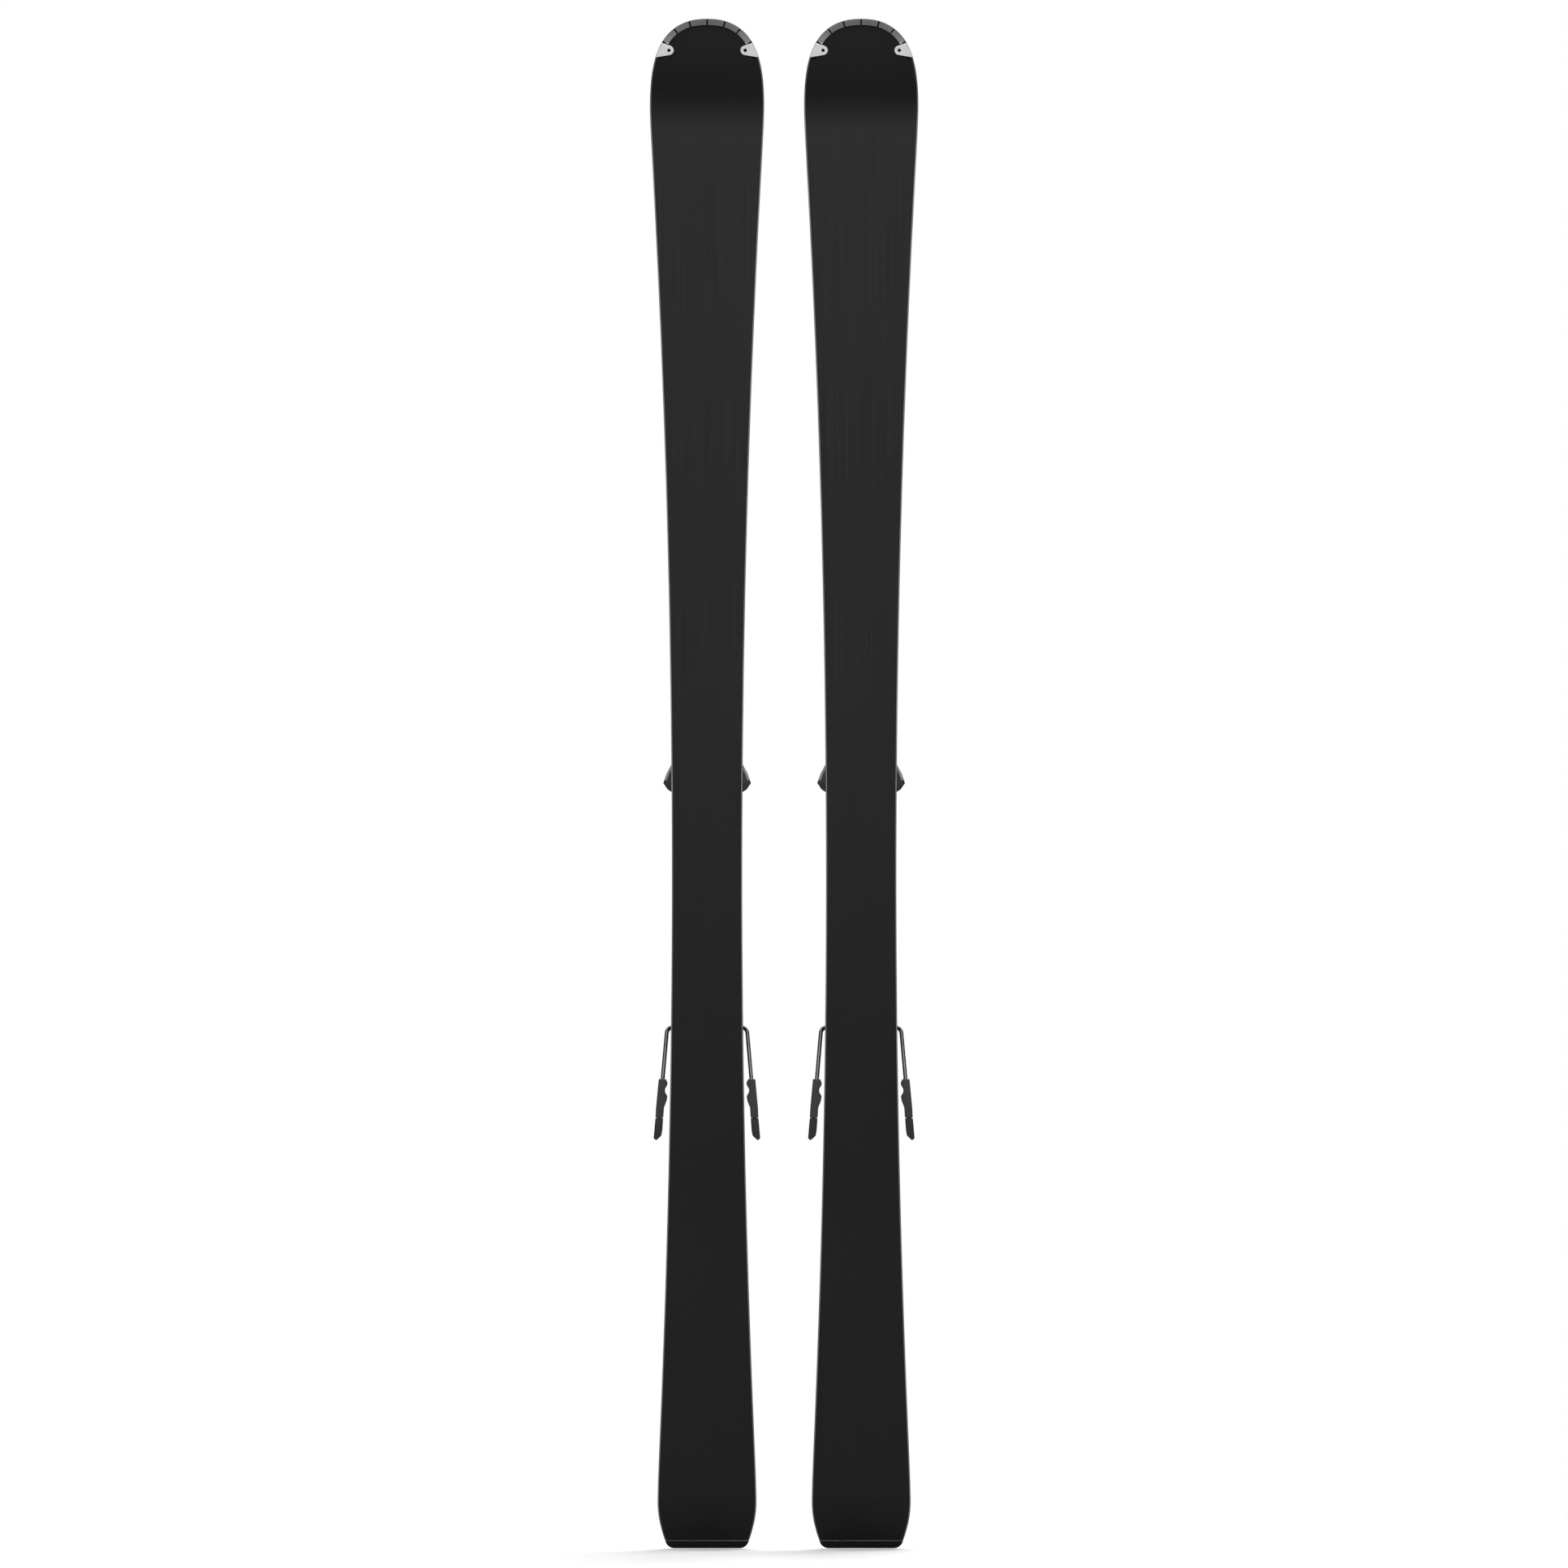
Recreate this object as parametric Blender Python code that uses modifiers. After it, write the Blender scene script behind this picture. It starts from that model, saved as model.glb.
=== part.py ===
"""A pair of alpine carving skis with step-in bindings and ski brakes.

The skis stand upright and side by side: +Z points to the tips, -Y is the side of the running
bases and +Y the side of the bindings. Shapes are described in millimetres as (x, y, z), with x
from the ski's centreline, y from the flat middle of its base and z from its tail. The origin of
the built parts is the point of the first ski's base below the middle of the boot.
"""

import math

import bmesh
import bpy
from mathutils import Vector

MM = 0.001
GAP = 0.3

# The pair
SKI_SPACING = 161.2
BOOT_CENTRE = 656.0

# Outline of a ski
TIP_END = 1599.85
WAIST_HALF = 36.85
WAIST_Z = 703.0
SIDECUT_RADIUS = 13500.0
SHOVEL_HALF = 60.27
TIP_CENTRE = 1473.5
TIP_REACH = 126.5
LENGTH = TIP_CENTRE + TIP_REACH
TIP_POWER_X = 2.28
TIP_POWER_Z = 3.88
TIP_TURN = 1515.0
TURN_REACH = LENGTH - TIP_TURN
TAIL_HALF = 52.1
TAIL_WIDEST = 52.0
TAIL_TAPER = 238.0
TAIL_CORNER = 6.0
OUTLINE_BLEND = 1.2

# Side profile of a ski
CAMBER = 4.0
FLAT_LOW = 390.0
FLAT_HIGH = 910.0
TAIL_CONTACT = 55.0
TIP_CONTACT = 1465.0
TAIL_RISE = 8.0
TIP_RISE = 48.0
SKI_THICK = 12.5
TIP_THICK = 4.8
TAIL_THICK = 5.5
THIN_FROM = 1480.0

# Layers of a ski
BASE_THICK = 1.4
EDGE_WIDE = 2.2
EDGE_THICK = 2.0
CAP_THICK = 0.8
TAIL_GUARD_LONG = 7.8
EDGE_END = 1559.0

# Tip guard
GUARD_THICK = 0.9
GUARD_WIDE = 6.6
TAB_START = 1559.1
TAB_END = 1574.5
TAB_CENTRE = (39.9, 1566.6)
TAB_RADIUS = 5.0
TAB_TURN_START = 257.0
TAB_TURN_STEP = 26.0
RIVET_HOLE = 1.65
SLOT_WIDE = 1.1
SLOT_RIM = 1.1
SLOT_PAST_INNER = 2.2
SLOT_HUB = TIP_TURN + 22.0
TIP_CUT = (-5.0, 55.0)
SLOT_OUTER = ((0.0, 1600.0), (18.9, 1596.2), (34.9, 1588.4))

# Binding plate with its T rail
PLATE_HALF = 32.0
PLATE_TOP = 18.0
PLATE_LOW = 400.0
PLATE_HIGH = 898.0
RAIL_NECK = 20.0
RAIL_HALF = 24.0
RAIL_UNDER = 20.0
RAIL_TOP = 22.2
RAIL_PLAY = 0.4
CARRIER_HALF = 30.0

# The boot that the binding holds
SOLE_Y = 36.0
TOE_CENTRE = 768.5
TOE_RADIUS = 37.1
TOE_LEDGE = 56.0
HEEL_CENTRE = 539.0
HEEL_RADIUS = 37.0
HEEL_LEDGE = 66.8

# Toe piece
TOE_LOW = 742.0
TOE_HIGH = 886.0
TOE_FLOOR = 31.0
AFD_FLOOR = 28.0
WING_PIN = (18.0, 828.0)
WING_LOW = 38.0
WING_HIGH = 63.0
PIN_RADIUS = 3.0
TOE_AXIS = 47.0
HOOD_UNDER = 64.0
HOOD_BACK = 884.0

# Heel piece
TRACK_LOW = 424.0
TRACK_HIGH = 560.0
TRACK_TOP = 25.0
HEEL_PIVOT = (474.0, 56.0)
HEEL_PIN_RADIUS = 4.0
LEVER_PIVOT = (468.0, 80.0)
LEVER_LONG = 46.0
LEVER_ANGLE = math.radians(20.7)
LATCH_PIVOT = (432.0, 28.0)
HEEL_AXIS = 56.0

# Release springs and the screws that set them
SPRING_WIRE = 0.9
SPRING_TURNS = 5
SCREW_RADIUS = 4.9
SCREW_SLOT_HALF = 0.7

# Brake
BRAKE_PIVOT = (544.7, 28.0)
WIRE_RADIUS = 2.15
ARM_ROOT = (41.7, 28.0, 544.7)
ARM_END = (51.6, -48.0, 430.0)
ARM_BEND = 7.5
CRANK_INNER = 21.0
CRANK_LONG = 36.0
CRANK_BEND = 4.0
CRANK_ANGLE = math.radians(36.0)
WIRE_STOP = 0.9
BORE_START = 0.42
BORE_END = 0.91
FOOT_DEPTH = 12.0
BOSS_HALF = 5.5

CUTTER_OVERRUN = 5.0
MERGE = 0.00005


# ---------------------------------------------------------------- outline and side profile


def smooth_min(a, b):
    return 0.5 * (a + b - math.hypot(a - b, OUTLINE_BLEND))


def smooth_step(t):
    t = min(max(t, 0.0), 1.0)
    return t * t * (3.0 - 2.0 * t)


def half_width(z):
    """Half the ski's width at a height above its tail."""
    sidecut = WAIST_HALF + (z - WAIST_Z) ** 2 / (2.0 * SIDECUT_RADIUS)
    if z > TIP_CENTRE:
        reach = min((z - TIP_CENTRE) / TIP_REACH, 1.0)
        limit = SHOVEL_HALF * (1.0 - reach ** TIP_POWER_Z) ** (1.0 / TIP_POWER_X)
        if limit < SHOVEL_HALF * 0.9:
            return limit
        return smooth_min(sidecut, limit)
    if z > WAIST_Z:
        return smooth_min(sidecut, SHOVEL_HALF)
    limit = TAIL_HALF - max(0.0, TAIL_WIDEST - z) ** 2 / TAIL_TAPER
    half = smooth_min(sidecut, limit)
    if z < TAIL_CORNER:
        half -= TAIL_CORNER - math.sqrt(TAIL_CORNER ** 2 - (TAIL_CORNER - z) ** 2)
    return half


def base_y(z):
    """The base's side profile: camber in the middle, raised tip and slightly raised tail."""
    if z > TIP_CONTACT:
        return -CAMBER + TIP_RISE * ((z - TIP_CONTACT) / (LENGTH - TIP_CONTACT)) ** 2
    if z < TAIL_CONTACT:
        return -CAMBER + TAIL_RISE * ((TAIL_CONTACT - z) / TAIL_CONTACT) ** 2
    if z > FLAT_HIGH:
        return -CAMBER * smooth_step((z - FLAT_HIGH) / (TIP_CONTACT - FLAT_HIGH))
    return -CAMBER * smooth_step((FLAT_LOW - z) / (FLAT_LOW - TAIL_CONTACT))


def thickness(z):
    if z > FLAT_HIGH:
        return SKI_THICK + (TIP_THICK - SKI_THICK) * smooth_step((z - FLAT_HIGH) / (THIN_FROM - FLAT_HIGH))
    return SKI_THICK + (TAIL_THICK - SKI_THICK) * smooth_step((FLAT_LOW - z) / (FLAT_LOW - TAIL_CONTACT))


def spread(low, high, count):
    return [low + (high - low) * i / (count - 1) for i in range(count)]


def stations():
    """Heights at which the ski's layers have a section, closest together at both ends."""
    sweep_end = math.asin((TIP_END - TIP_TURN) / TURN_REACH)
    heights = spread(TAIL_GUARD_LONG + GAP, TAIL_CONTACT, 5)
    heights += spread(TAIL_CONTACT, FLAT_LOW, 6)
    heights += spread(FLAT_LOW, FLAT_HIGH, 5)
    heights += spread(FLAT_HIGH, TIP_CONTACT, 8)
    heights += spread(TIP_CONTACT, TIP_TURN, 5)
    heights += [TIP_TURN + TURN_REACH * math.sin(a) for a in spread(0.0, sweep_end, 11)]
    heights.append(EDGE_END)
    return sorted(set(round(z, 4) for z in heights))


STATIONS = stations()


# ---------------------------------------------------------------- shapes: (points, faces)


def loft(rings):
    """A solid skinned over closed rings of equally many points."""
    count = len(rings[0])
    points = [p for ring in rings for p in ring]
    faces = [tuple(range(count))]
    for r in range(len(rings) - 1):
        low = r * count
        for i in range(count):
            j = (i + 1) % count
            faces.append((low + i, low + j, low + count + j, low + count + i))
    top = (len(rings) - 1) * count
    faces.append(tuple(top + i for i in reversed(range(count))))
    return points, faces


def prism(axis, outline, low, high):
    """An outline pushed along X as (z, y), along Y as (x, z) or along Z as (x, y)."""
    place = {
        "X": lambda a, b, t: (t, b, a),
        "Y": lambda a, b, t: (a, t, b),
        "Z": lambda a, b, t: (a, b, t),
    }[axis]
    return loft([[place(a, b, t) for a, b in outline] for t in (low, high)])


def block(x, y, z):
    return prism("Z", [(x[0], y[0]), (x[1], y[0]), (x[1], y[1]), (x[0], y[1])], z[0], z[1])


def arc(centre, radius, start, end, count):
    """Points along an arc, with the angles in degrees."""
    angles = [math.radians(a) for a in spread(start, end, count)]
    return [(centre[0] + radius * math.cos(a), centre[1] + radius * math.sin(a)) for a in angles]


def rod(axis, centre, radius, low, high, sides=16):
    return prism(axis, arc(centre, radius, 0.0, 360.0, sides + 1)[:-1], low, high)


def slab(x, z, y, corner, steps=4):
    """A plate flat in X and Z, with rounded corners."""
    outline = arc((x[1] - corner, z[1] - corner), corner, 0, 90, steps)
    outline += arc((x[0] + corner, z[1] - corner), corner, 90, 180, steps)
    outline += arc((x[0] + corner, z[0] + corner), corner, 180, 270, steps)
    outline += arc((x[1] - corner, z[0] + corner), corner, 270, 360, steps)
    return prism("Y", outline, y[0], y[1])


def tube(path, radius, sides):
    """A round wire along a path, its section carried along without twisting."""
    line = [Vector(p) for p in path]
    ahead = (line[1] - line[0]).normalized()
    side = ahead.orthogonal().normalized()
    rings = []
    for i, point in enumerate(line):
        before = line[max(i - 1, 0)]
        after = line[min(i + 1, len(line) - 1)]
        turned = (after - before).normalized()
        side = ahead.rotation_difference(turned) @ side
        ahead = turned
        other = ahead.cross(side)
        ring = []
        for k in range(sides):
            a = 2.0 * math.pi * k / sides
            ring.append(tuple(point + radius * (side * math.cos(a) + other * math.sin(a))))
        rings.append(ring)
    return loft(rings)


def rounded_path(corners, radii, steps=3):
    """A polyline with each inner corner replaced by a bend of its own radius."""
    line = [Vector(c) for c in corners]
    path = [line[0]]
    for before, corner, after, radius in zip(line, line[1:], line[2:], radii):
        back = (before - corner).normalized()
        on = (after - corner).normalized()
        half = 0.5 * back.angle(on)
        reach = radius / math.tan(half)
        centre = corner + (back + on).normalized() * (radius / math.sin(half))
        start = (corner + back * reach - centre).normalized()
        end = (corner + on * reach - centre).normalized()
        for t in spread(0.0, 1.0, steps + 1):
            path.append(centre + start.slerp(end, t) * radius)
    path.append(line[-1])
    return [tuple(p) for p in path]


def helix(y, low, high, radius, wire, turns, steps=8, sides=4):
    """A coil spring along Z."""
    total = turns * steps
    path = []
    for i in range(total + 1):
        a = 2.0 * math.pi * i / steps
        rise = low + wire + (high - low - 2.0 * wire) * i / total
        path.append((radius * math.cos(a), y + radius * math.sin(a), rise))
    return tube(path, wire, sides)


def mirrored(shape):
    points, faces = shape
    return [(-x, y, z) for x, y, z in points], [tuple(reversed(f)) for f in faces]


def raised(outline):
    """Turns (z, y) points from the pedal's pressed position up to its resting one."""
    z0, y0 = BRAKE_PIVOT
    c, s = math.cos(CRANK_ANGLE), math.sin(CRANK_ANGLE)
    return [(z0 + (z - z0) * c - (y - y0) * s, y0 + (z - z0) * s + (y - y0) * c) for z, y in outline]


# ---------------------------------------------------------------- Blender objects


def clear_scene():
    for obj in list(bpy.data.objects):
        bpy.data.objects.remove(obj, do_unlink=True)
    for group in list(bpy.data.collections):
        bpy.data.collections.remove(group)


def new_collection(name):
    group = bpy.data.collections.new(name)
    bpy.context.scene.collection.children.link(group)
    return group


def in_metres(point):
    x, y, z = point
    return Vector((x, y, z - BOOT_CENTRE)) * MM


def add_object(name, shape, pivot, ski_x, home):
    points, faces = shape
    origin = in_metres(pivot)
    mesh = bpy.data.meshes.new(name)
    mesh.from_pydata([in_metres(p) - origin for p in points], [], faces)
    bm = bmesh.new()
    bm.from_mesh(mesh)
    bmesh.ops.remove_doubles(bm, verts=bm.verts, dist=MERGE)
    bmesh.ops.recalc_face_normals(bm, faces=bm.faces)
    bm.to_mesh(mesh)
    bm.free()
    obj = bpy.data.objects.new(name, mesh)
    obj.location = origin + Vector((ski_x * MM, 0.0, 0.0))
    home.objects.link(obj)
    return obj


def add_material(obj, colour, metallic, roughness):
    material = bpy.data.materials.new(obj.name)
    material.use_nodes = True
    surface = material.node_tree.nodes["Principled BSDF"]
    surface.inputs["Base Color"].default_value = (*colour, 1.0)
    surface.inputs["Metallic"].default_value = metallic
    surface.inputs["Roughness"].default_value = roughness
    material.diffuse_color = (*colour, 1.0)
    obj.data.materials.append(material)


class SkiBuilder:
    """Builds one ski's parts, all named with the ski's prefix."""

    def __init__(self, prefix, ski_x, parts, cutters):
        self.prefix = prefix
        self.ski_x = ski_x
        self.parts = parts
        self.cutters = cutters

    def part(self, name, shape, look, pivot=(0.0, 0.0, BOOT_CENTRE), bevel=0.0, steps=()):
        """A node: a shape, its edges rounded, then joined to or cut by others in turn."""
        obj = add_object(self.prefix + name, shape, pivot, self.ski_x, self.parts)
        add_material(obj, *look)
        if bevel:
            rounding = obj.modifiers.new("rounded edges", "BEVEL")
            rounding.width = bevel * MM
            rounding.segments = 1
            rounding.limit_method = "ANGLE"
            rounding.angle_limit = math.radians(35.0)
        for index, (operation, other) in enumerate(steps):
            label = f"{self.prefix}{name}_{operation.lower()}_{index}"
            helper = add_object(label, other, pivot, self.ski_x, self.cutters)
            helper.hide_render = True
            helper.display_type = "WIRE"
            boolean = obj.modifiers.new(label, "BOOLEAN")
            boolean.operation = operation
            boolean.solver = "EXACT"
            boolean.object = helper
        return obj


BLACK = (0.03, 0.03, 0.032)
GRAPHITE = (0.09, 0.09, 0.1)
STEEL = (0.62, 0.62, 0.64)
PLASTIC = (BLACK, 0.0, 0.45)
GREY_PLASTIC = (GRAPHITE, 0.0, 0.5)
BRIGHT_STEEL = (STEEL, 1.0, 0.25)
CUT = "DIFFERENCE"
JOIN = "UNION"


# ---------------------------------------------------------------- the ski


def ski_layers(ski):
    def both_sides(z, section):
        """A ring from (distance in from the edge, height) pairs and their mirror image."""
        half = half_width(z)
        right = [(half - inset, height, z) for inset, height in section]
        return right + [(-x, y, z) for x, y, _ in reversed(right)]

    core, cap, base, edge = [], [], [], []
    for z in STATIONS:
        low = base_y(z)
        high = low + thickness(z)
        base.append(both_sides(z, [(EDGE_WIDE + GAP, low), (EDGE_WIDE + GAP, low + BASE_THICK)]))
        core.append(both_sides(z, [(2.9, low + BASE_THICK + GAP), (2.9, high - 2.6), (4.4, high - 1.1)]))
        outer = [(GAP, low + EDGE_THICK + GAP), (1.8, high - 2.0), (3.6, high)]
        inner = [(4.2, high - CAP_THICK), (2.6, high - 2.3), (GAP + CAP_THICK, low + EDGE_THICK + GAP)]
        half = half_width(z)
        outside = [(half - inset, y, z) for inset, y in outer]
        inside = [(half - inset, y, z) for inset, y in inner]
        cap.append(
            outside
            + [(-x, y, z) for x, y, _ in reversed(outside)]
            + [(-x, y, z) for x, y, _ in reversed(inside)]
            + inside
        )
        if z <= EDGE_END:
            edge.append(
                [
                    (half - EDGE_WIDE, low, z),
                    (half, low, z),
                    (half, low + EDGE_THICK, z),
                    (half - EDGE_WIDE, low + EDGE_THICK, z),
                ]
            )
    ski.part("core", loft(core), ((0.55, 0.4, 0.22), 0.0, 0.6))
    ski.part("topsheet", loft(cap), ((0.05, 0.05, 0.06), 0.0, 0.3))
    ski.part("base", loft(base), (BLACK, 0.0, 0.4))
    ski.part("edge_right", loft(edge), BRIGHT_STEEL)
    ski.part("edge_left", mirrored(loft(edge)), BRIGHT_STEEL)


def tail_guard(ski):
    rings = []
    for z in (0.0, 1.0, 3.0, TAIL_CORNER, TAIL_GUARD_LONG):
        half = half_width(z)
        low = base_y(z)
        high = low + thickness(z)
        rings.append([(-half, low, z), (half, low, z), (half, high, z), (-half, high, z)])
    ski.part("tail_guard", loft(rings), (GRAPHITE, 0.6, 0.4))


def tip_guard(ski):
    """A thin riveted band round the tip, on the base side, slotted so that it follows the curve."""
    start = math.asin((TAB_END - TIP_TURN) / TURN_REACH)
    heights = [TIP_TURN + TURN_REACH * math.sin(a) for a in spread(start, 0.5 * math.pi, 15)]
    outline = [(half_width(z), z) for z in heights[:-1]] + [(0.0, LENGTH)]
    pairs = []
    for k, z in enumerate(spread(TAB_START, TAB_END, 7)[:-1]):
        angle = math.radians(TAB_TURN_START - TAB_TURN_STEP * k)
        inner = (
            TAB_CENTRE[0] + TAB_RADIUS * math.cos(angle),
            TAB_CENTRE[1] + TAB_RADIUS * math.sin(angle),
        )
        pairs.append(((half_width(z), z), inner))
    for i, (x, z) in enumerate(outline[:-1]):
        before = outline[max(i - 1, 0)]
        after = outline[i + 1]
        along = Vector((after[0] - before[0], after[1] - before[1])).normalized()
        pairs.append(((x, z), (x + GUARD_WIDE * along.y * -1.0, z + GUARD_WIDE * along.x)))
    top = ((0.0, LENGTH), (0.0, LENGTH - GUARD_WIDE))
    pairs = pairs + [top] + [((-a[0], a[1]), (-b[0], b[1])) for a, b in reversed(pairs)]
    rings = []
    for outer, inner in pairs:
        outer_y = base_y(outer[1]) - GAP
        inner_y = base_y(inner[1]) - GAP
        rings.append(
            [
                (outer[0], outer_y, outer[1]),
                (inner[0], inner_y, inner[1]),
                (inner[0], inner_y - GUARD_THICK, inner[1]),
                (outer[0], outer_y - GUARD_THICK, outer[1]),
            ]
        )
    steps = []
    for side in (-1.0, 1.0):
        steps.append((CUT, rod("Y", (side * TAB_CENTRE[0], TAB_CENTRE[1]), RIVET_HOLE, *TIP_CUT, 12)))
    hub = Vector((0.0, SLOT_HUB))
    for x, z in SLOT_OUTER:
        for side in ((1.0,) if x == 0.0 else (-1.0, 1.0)):
            outer = Vector((side * x, z))
            inward = (hub - outer).normalized()
            across = Vector((inward.y, -inward.x)) * (0.5 * SLOT_WIDE)
            near = outer + inward * SLOT_RIM
            far = outer + inward * (GUARD_WIDE + SLOT_PAST_INNER)
            corners = [near + across, near - across, far - across, far + across]
            steps.append((CUT, prism("Y", [tuple(c) for c in corners], *TIP_CUT)))
    ski.part("tip_guard", loft(rings), ((0.7, 0.7, 0.7), 1.0, 0.35), steps=steps)


def binding_plate(ski):
    plate = slab((-PLATE_HALF, PLATE_HALF), (PLATE_LOW, PLATE_HIGH), (SKI_THICK + GAP, PLATE_TOP), 10.0)
    rail = [
        (-RAIL_NECK, PLATE_TOP - 1.0),
        (RAIL_NECK, PLATE_TOP - 1.0),
        (RAIL_NECK, RAIL_UNDER),
        (RAIL_HALF, RAIL_UNDER),
        (RAIL_HALF, RAIL_TOP),
        (-RAIL_HALF, RAIL_TOP),
        (-RAIL_HALF, RAIL_UNDER),
        (-RAIL_NECK, RAIL_UNDER),
    ]
    steps = [(JOIN, prism("Z", rail, PLATE_LOW + 6.0, PLATE_HIGH - 6.0))]
    ski.part("binding_plate", plate, PLASTIC, steps=steps)


def carrier(low, high, top):
    """A channel that wraps the rail's head."""
    neck = RAIL_NECK + RAIL_PLAY
    head = RAIL_HALF + RAIL_PLAY
    right = [
        (neck, PLATE_TOP + RAIL_PLAY),
        (CARRIER_HALF, PLATE_TOP + RAIL_PLAY),
        (CARRIER_HALF, top),
    ]
    left = [(-x, y) for x, y in reversed(right)]
    under = [
        (-neck, RAIL_UNDER - GAP),
        (-head, RAIL_UNDER - GAP),
        (-head, RAIL_TOP + RAIL_PLAY),
        (head, RAIL_TOP + RAIL_PLAY),
        (head, RAIL_UNDER - GAP),
        (neck, RAIL_UNDER - GAP),
    ]
    return prism("Z", right + left + under, low, high)


# ---------------------------------------------------------------- toe piece


def toe_piece(ski):
    steps = [
        (JOIN, block((-28.5, 28.5), (AFD_FLOOR - 1.0, TOE_FLOOR), (792.0, TOE_HIGH - 0.5))),
        (JOIN, block((-14.0, 14.0), (TOE_FLOOR - 1.0, TOE_LEDGE), (805.8, 808.3))),
    ]
    ski.part("toe_base", carrier(TOE_LOW, TOE_HIGH, AFD_FLOOR), PLASTIC, steps=steps)

    afd = slab((-28.0, 28.0), (748.0, 788.0), (AFD_FLOOR + GAP, SOLE_Y), 5.0)
    ski.part("afd_plate", afd, GREY_PLASTIC, pivot=(0.0, AFD_FLOOR + GAP, 768.0))

    profile = [
        (795.0, HOOD_UNDER),
        (842.5, HOOD_UNDER),
        (842.5, TOE_FLOOR + GAP),
        (HOOD_BACK, TOE_FLOOR + GAP),
        (HOOD_BACK, 45.0),
        (872.0, 66.0),
        (850.0, 75.0),
        (800.0, 72.0),
        (795.0, 69.0),
    ]
    steps = [
        (CUT, rod("Z", (0.0, TOE_AXIS), 9.0, 846.0, 875.0)),
        (CUT, rod("Z", (0.0, TOE_AXIS), 3.6, 842.5 - CUTTER_OVERRUN, 850.0, 12)),
        (CUT, rod("Z", (0.0, TOE_AXIS), 5.3, 870.0, HOOD_BACK + CUTTER_OVERRUN)),
    ]
    ski.part("toe_housing", prism("X", profile, -27.0, 27.0), PLASTIC, bevel=2.5, steps=steps)

    wing = [
        (9.0, 821.0),
        (15.0, 820.0),
        (15.0, 797.0),
        (24.0, 788.0),
        (30.0, 787.5),
        (37.8, 791.0),
        (41.6, 793.2),
        (46.8, 800.3),
        (42.6, 810.2),
        (38.0, 819.0),
        (28.0, 836.0),
        (22.0, 837.0),
        (13.0, 834.0),
        (9.0, 827.0),
    ]
    steps = [
        (CUT, rod("Y", WING_PIN, PIN_RADIUS + GAP, WING_LOW - CUTTER_OVERRUN, WING_HIGH + CUTTER_OVERRUN)),
        (CUT, rod("Y", (0.0, TOE_CENTRE), TOE_RADIUS, WING_LOW - CUTTER_OVERRUN, TOE_LEDGE, 36)),
    ]
    for side, sign, turn in (("left", -1.0, mirrored), ("right", 1.0, tuple)):
        ski.part(
            "toe_wing_" + side,
            turn(prism("Y", wing, WING_LOW, WING_HIGH)),
            PLASTIC,
            pivot=(sign * WING_PIN[0], WING_LOW, WING_PIN[1]),
            bevel=1.2,
            steps=[(operation, turn(shape)) for operation, shape in steps],
        )
        pin = rod("Y", WING_PIN, PIN_RADIUS, TOE_FLOOR + GAP, HOOD_UNDER - GAP)
        ski.part("toe_pin_" + side, turn(pin), BRIGHT_STEEL)

    steps = [
        (JOIN, rod("Z", (0.0, TOE_AXIS), 3.0, 817.0, 867.0, 12)),
        (JOIN, rod("Z", (0.0, TOE_AXIS), 7.5, 865.0, 868.0)),
    ]
    crosshead = block((-10.5, 10.5), (42.0, 52.0), (813.5, 818.0))
    ski.part("toe_piston", crosshead, BRIGHT_STEEL, pivot=(0.0, TOE_AXIS, 818.0), steps=steps)
    ski.part("toe_spring", helix(TOE_AXIS, 846.3, 864.7, 6.2, SPRING_WIRE, SPRING_TURNS), BRIGHT_STEEL)
    slot = (TOE_AXIS - SCREW_SLOT_HALF, TOE_AXIS + SCREW_SLOT_HALF)
    steps = [
        (JOIN, rod("Z", (0.0, TOE_AXIS), SCREW_RADIUS, 873.0, 887.0)),
        (CUT, block((-6.0, 6.0), slot, (885.2, 890.0))),
    ]
    disc = rod("Z", (0.0, TOE_AXIS), 8.4, 870.5, 874.5)
    ski.part("toe_screw", disc, BRIGHT_STEEL, pivot=(0.0, TOE_AXIS, 870.5), steps=steps)


# ---------------------------------------------------------------- heel piece


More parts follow.
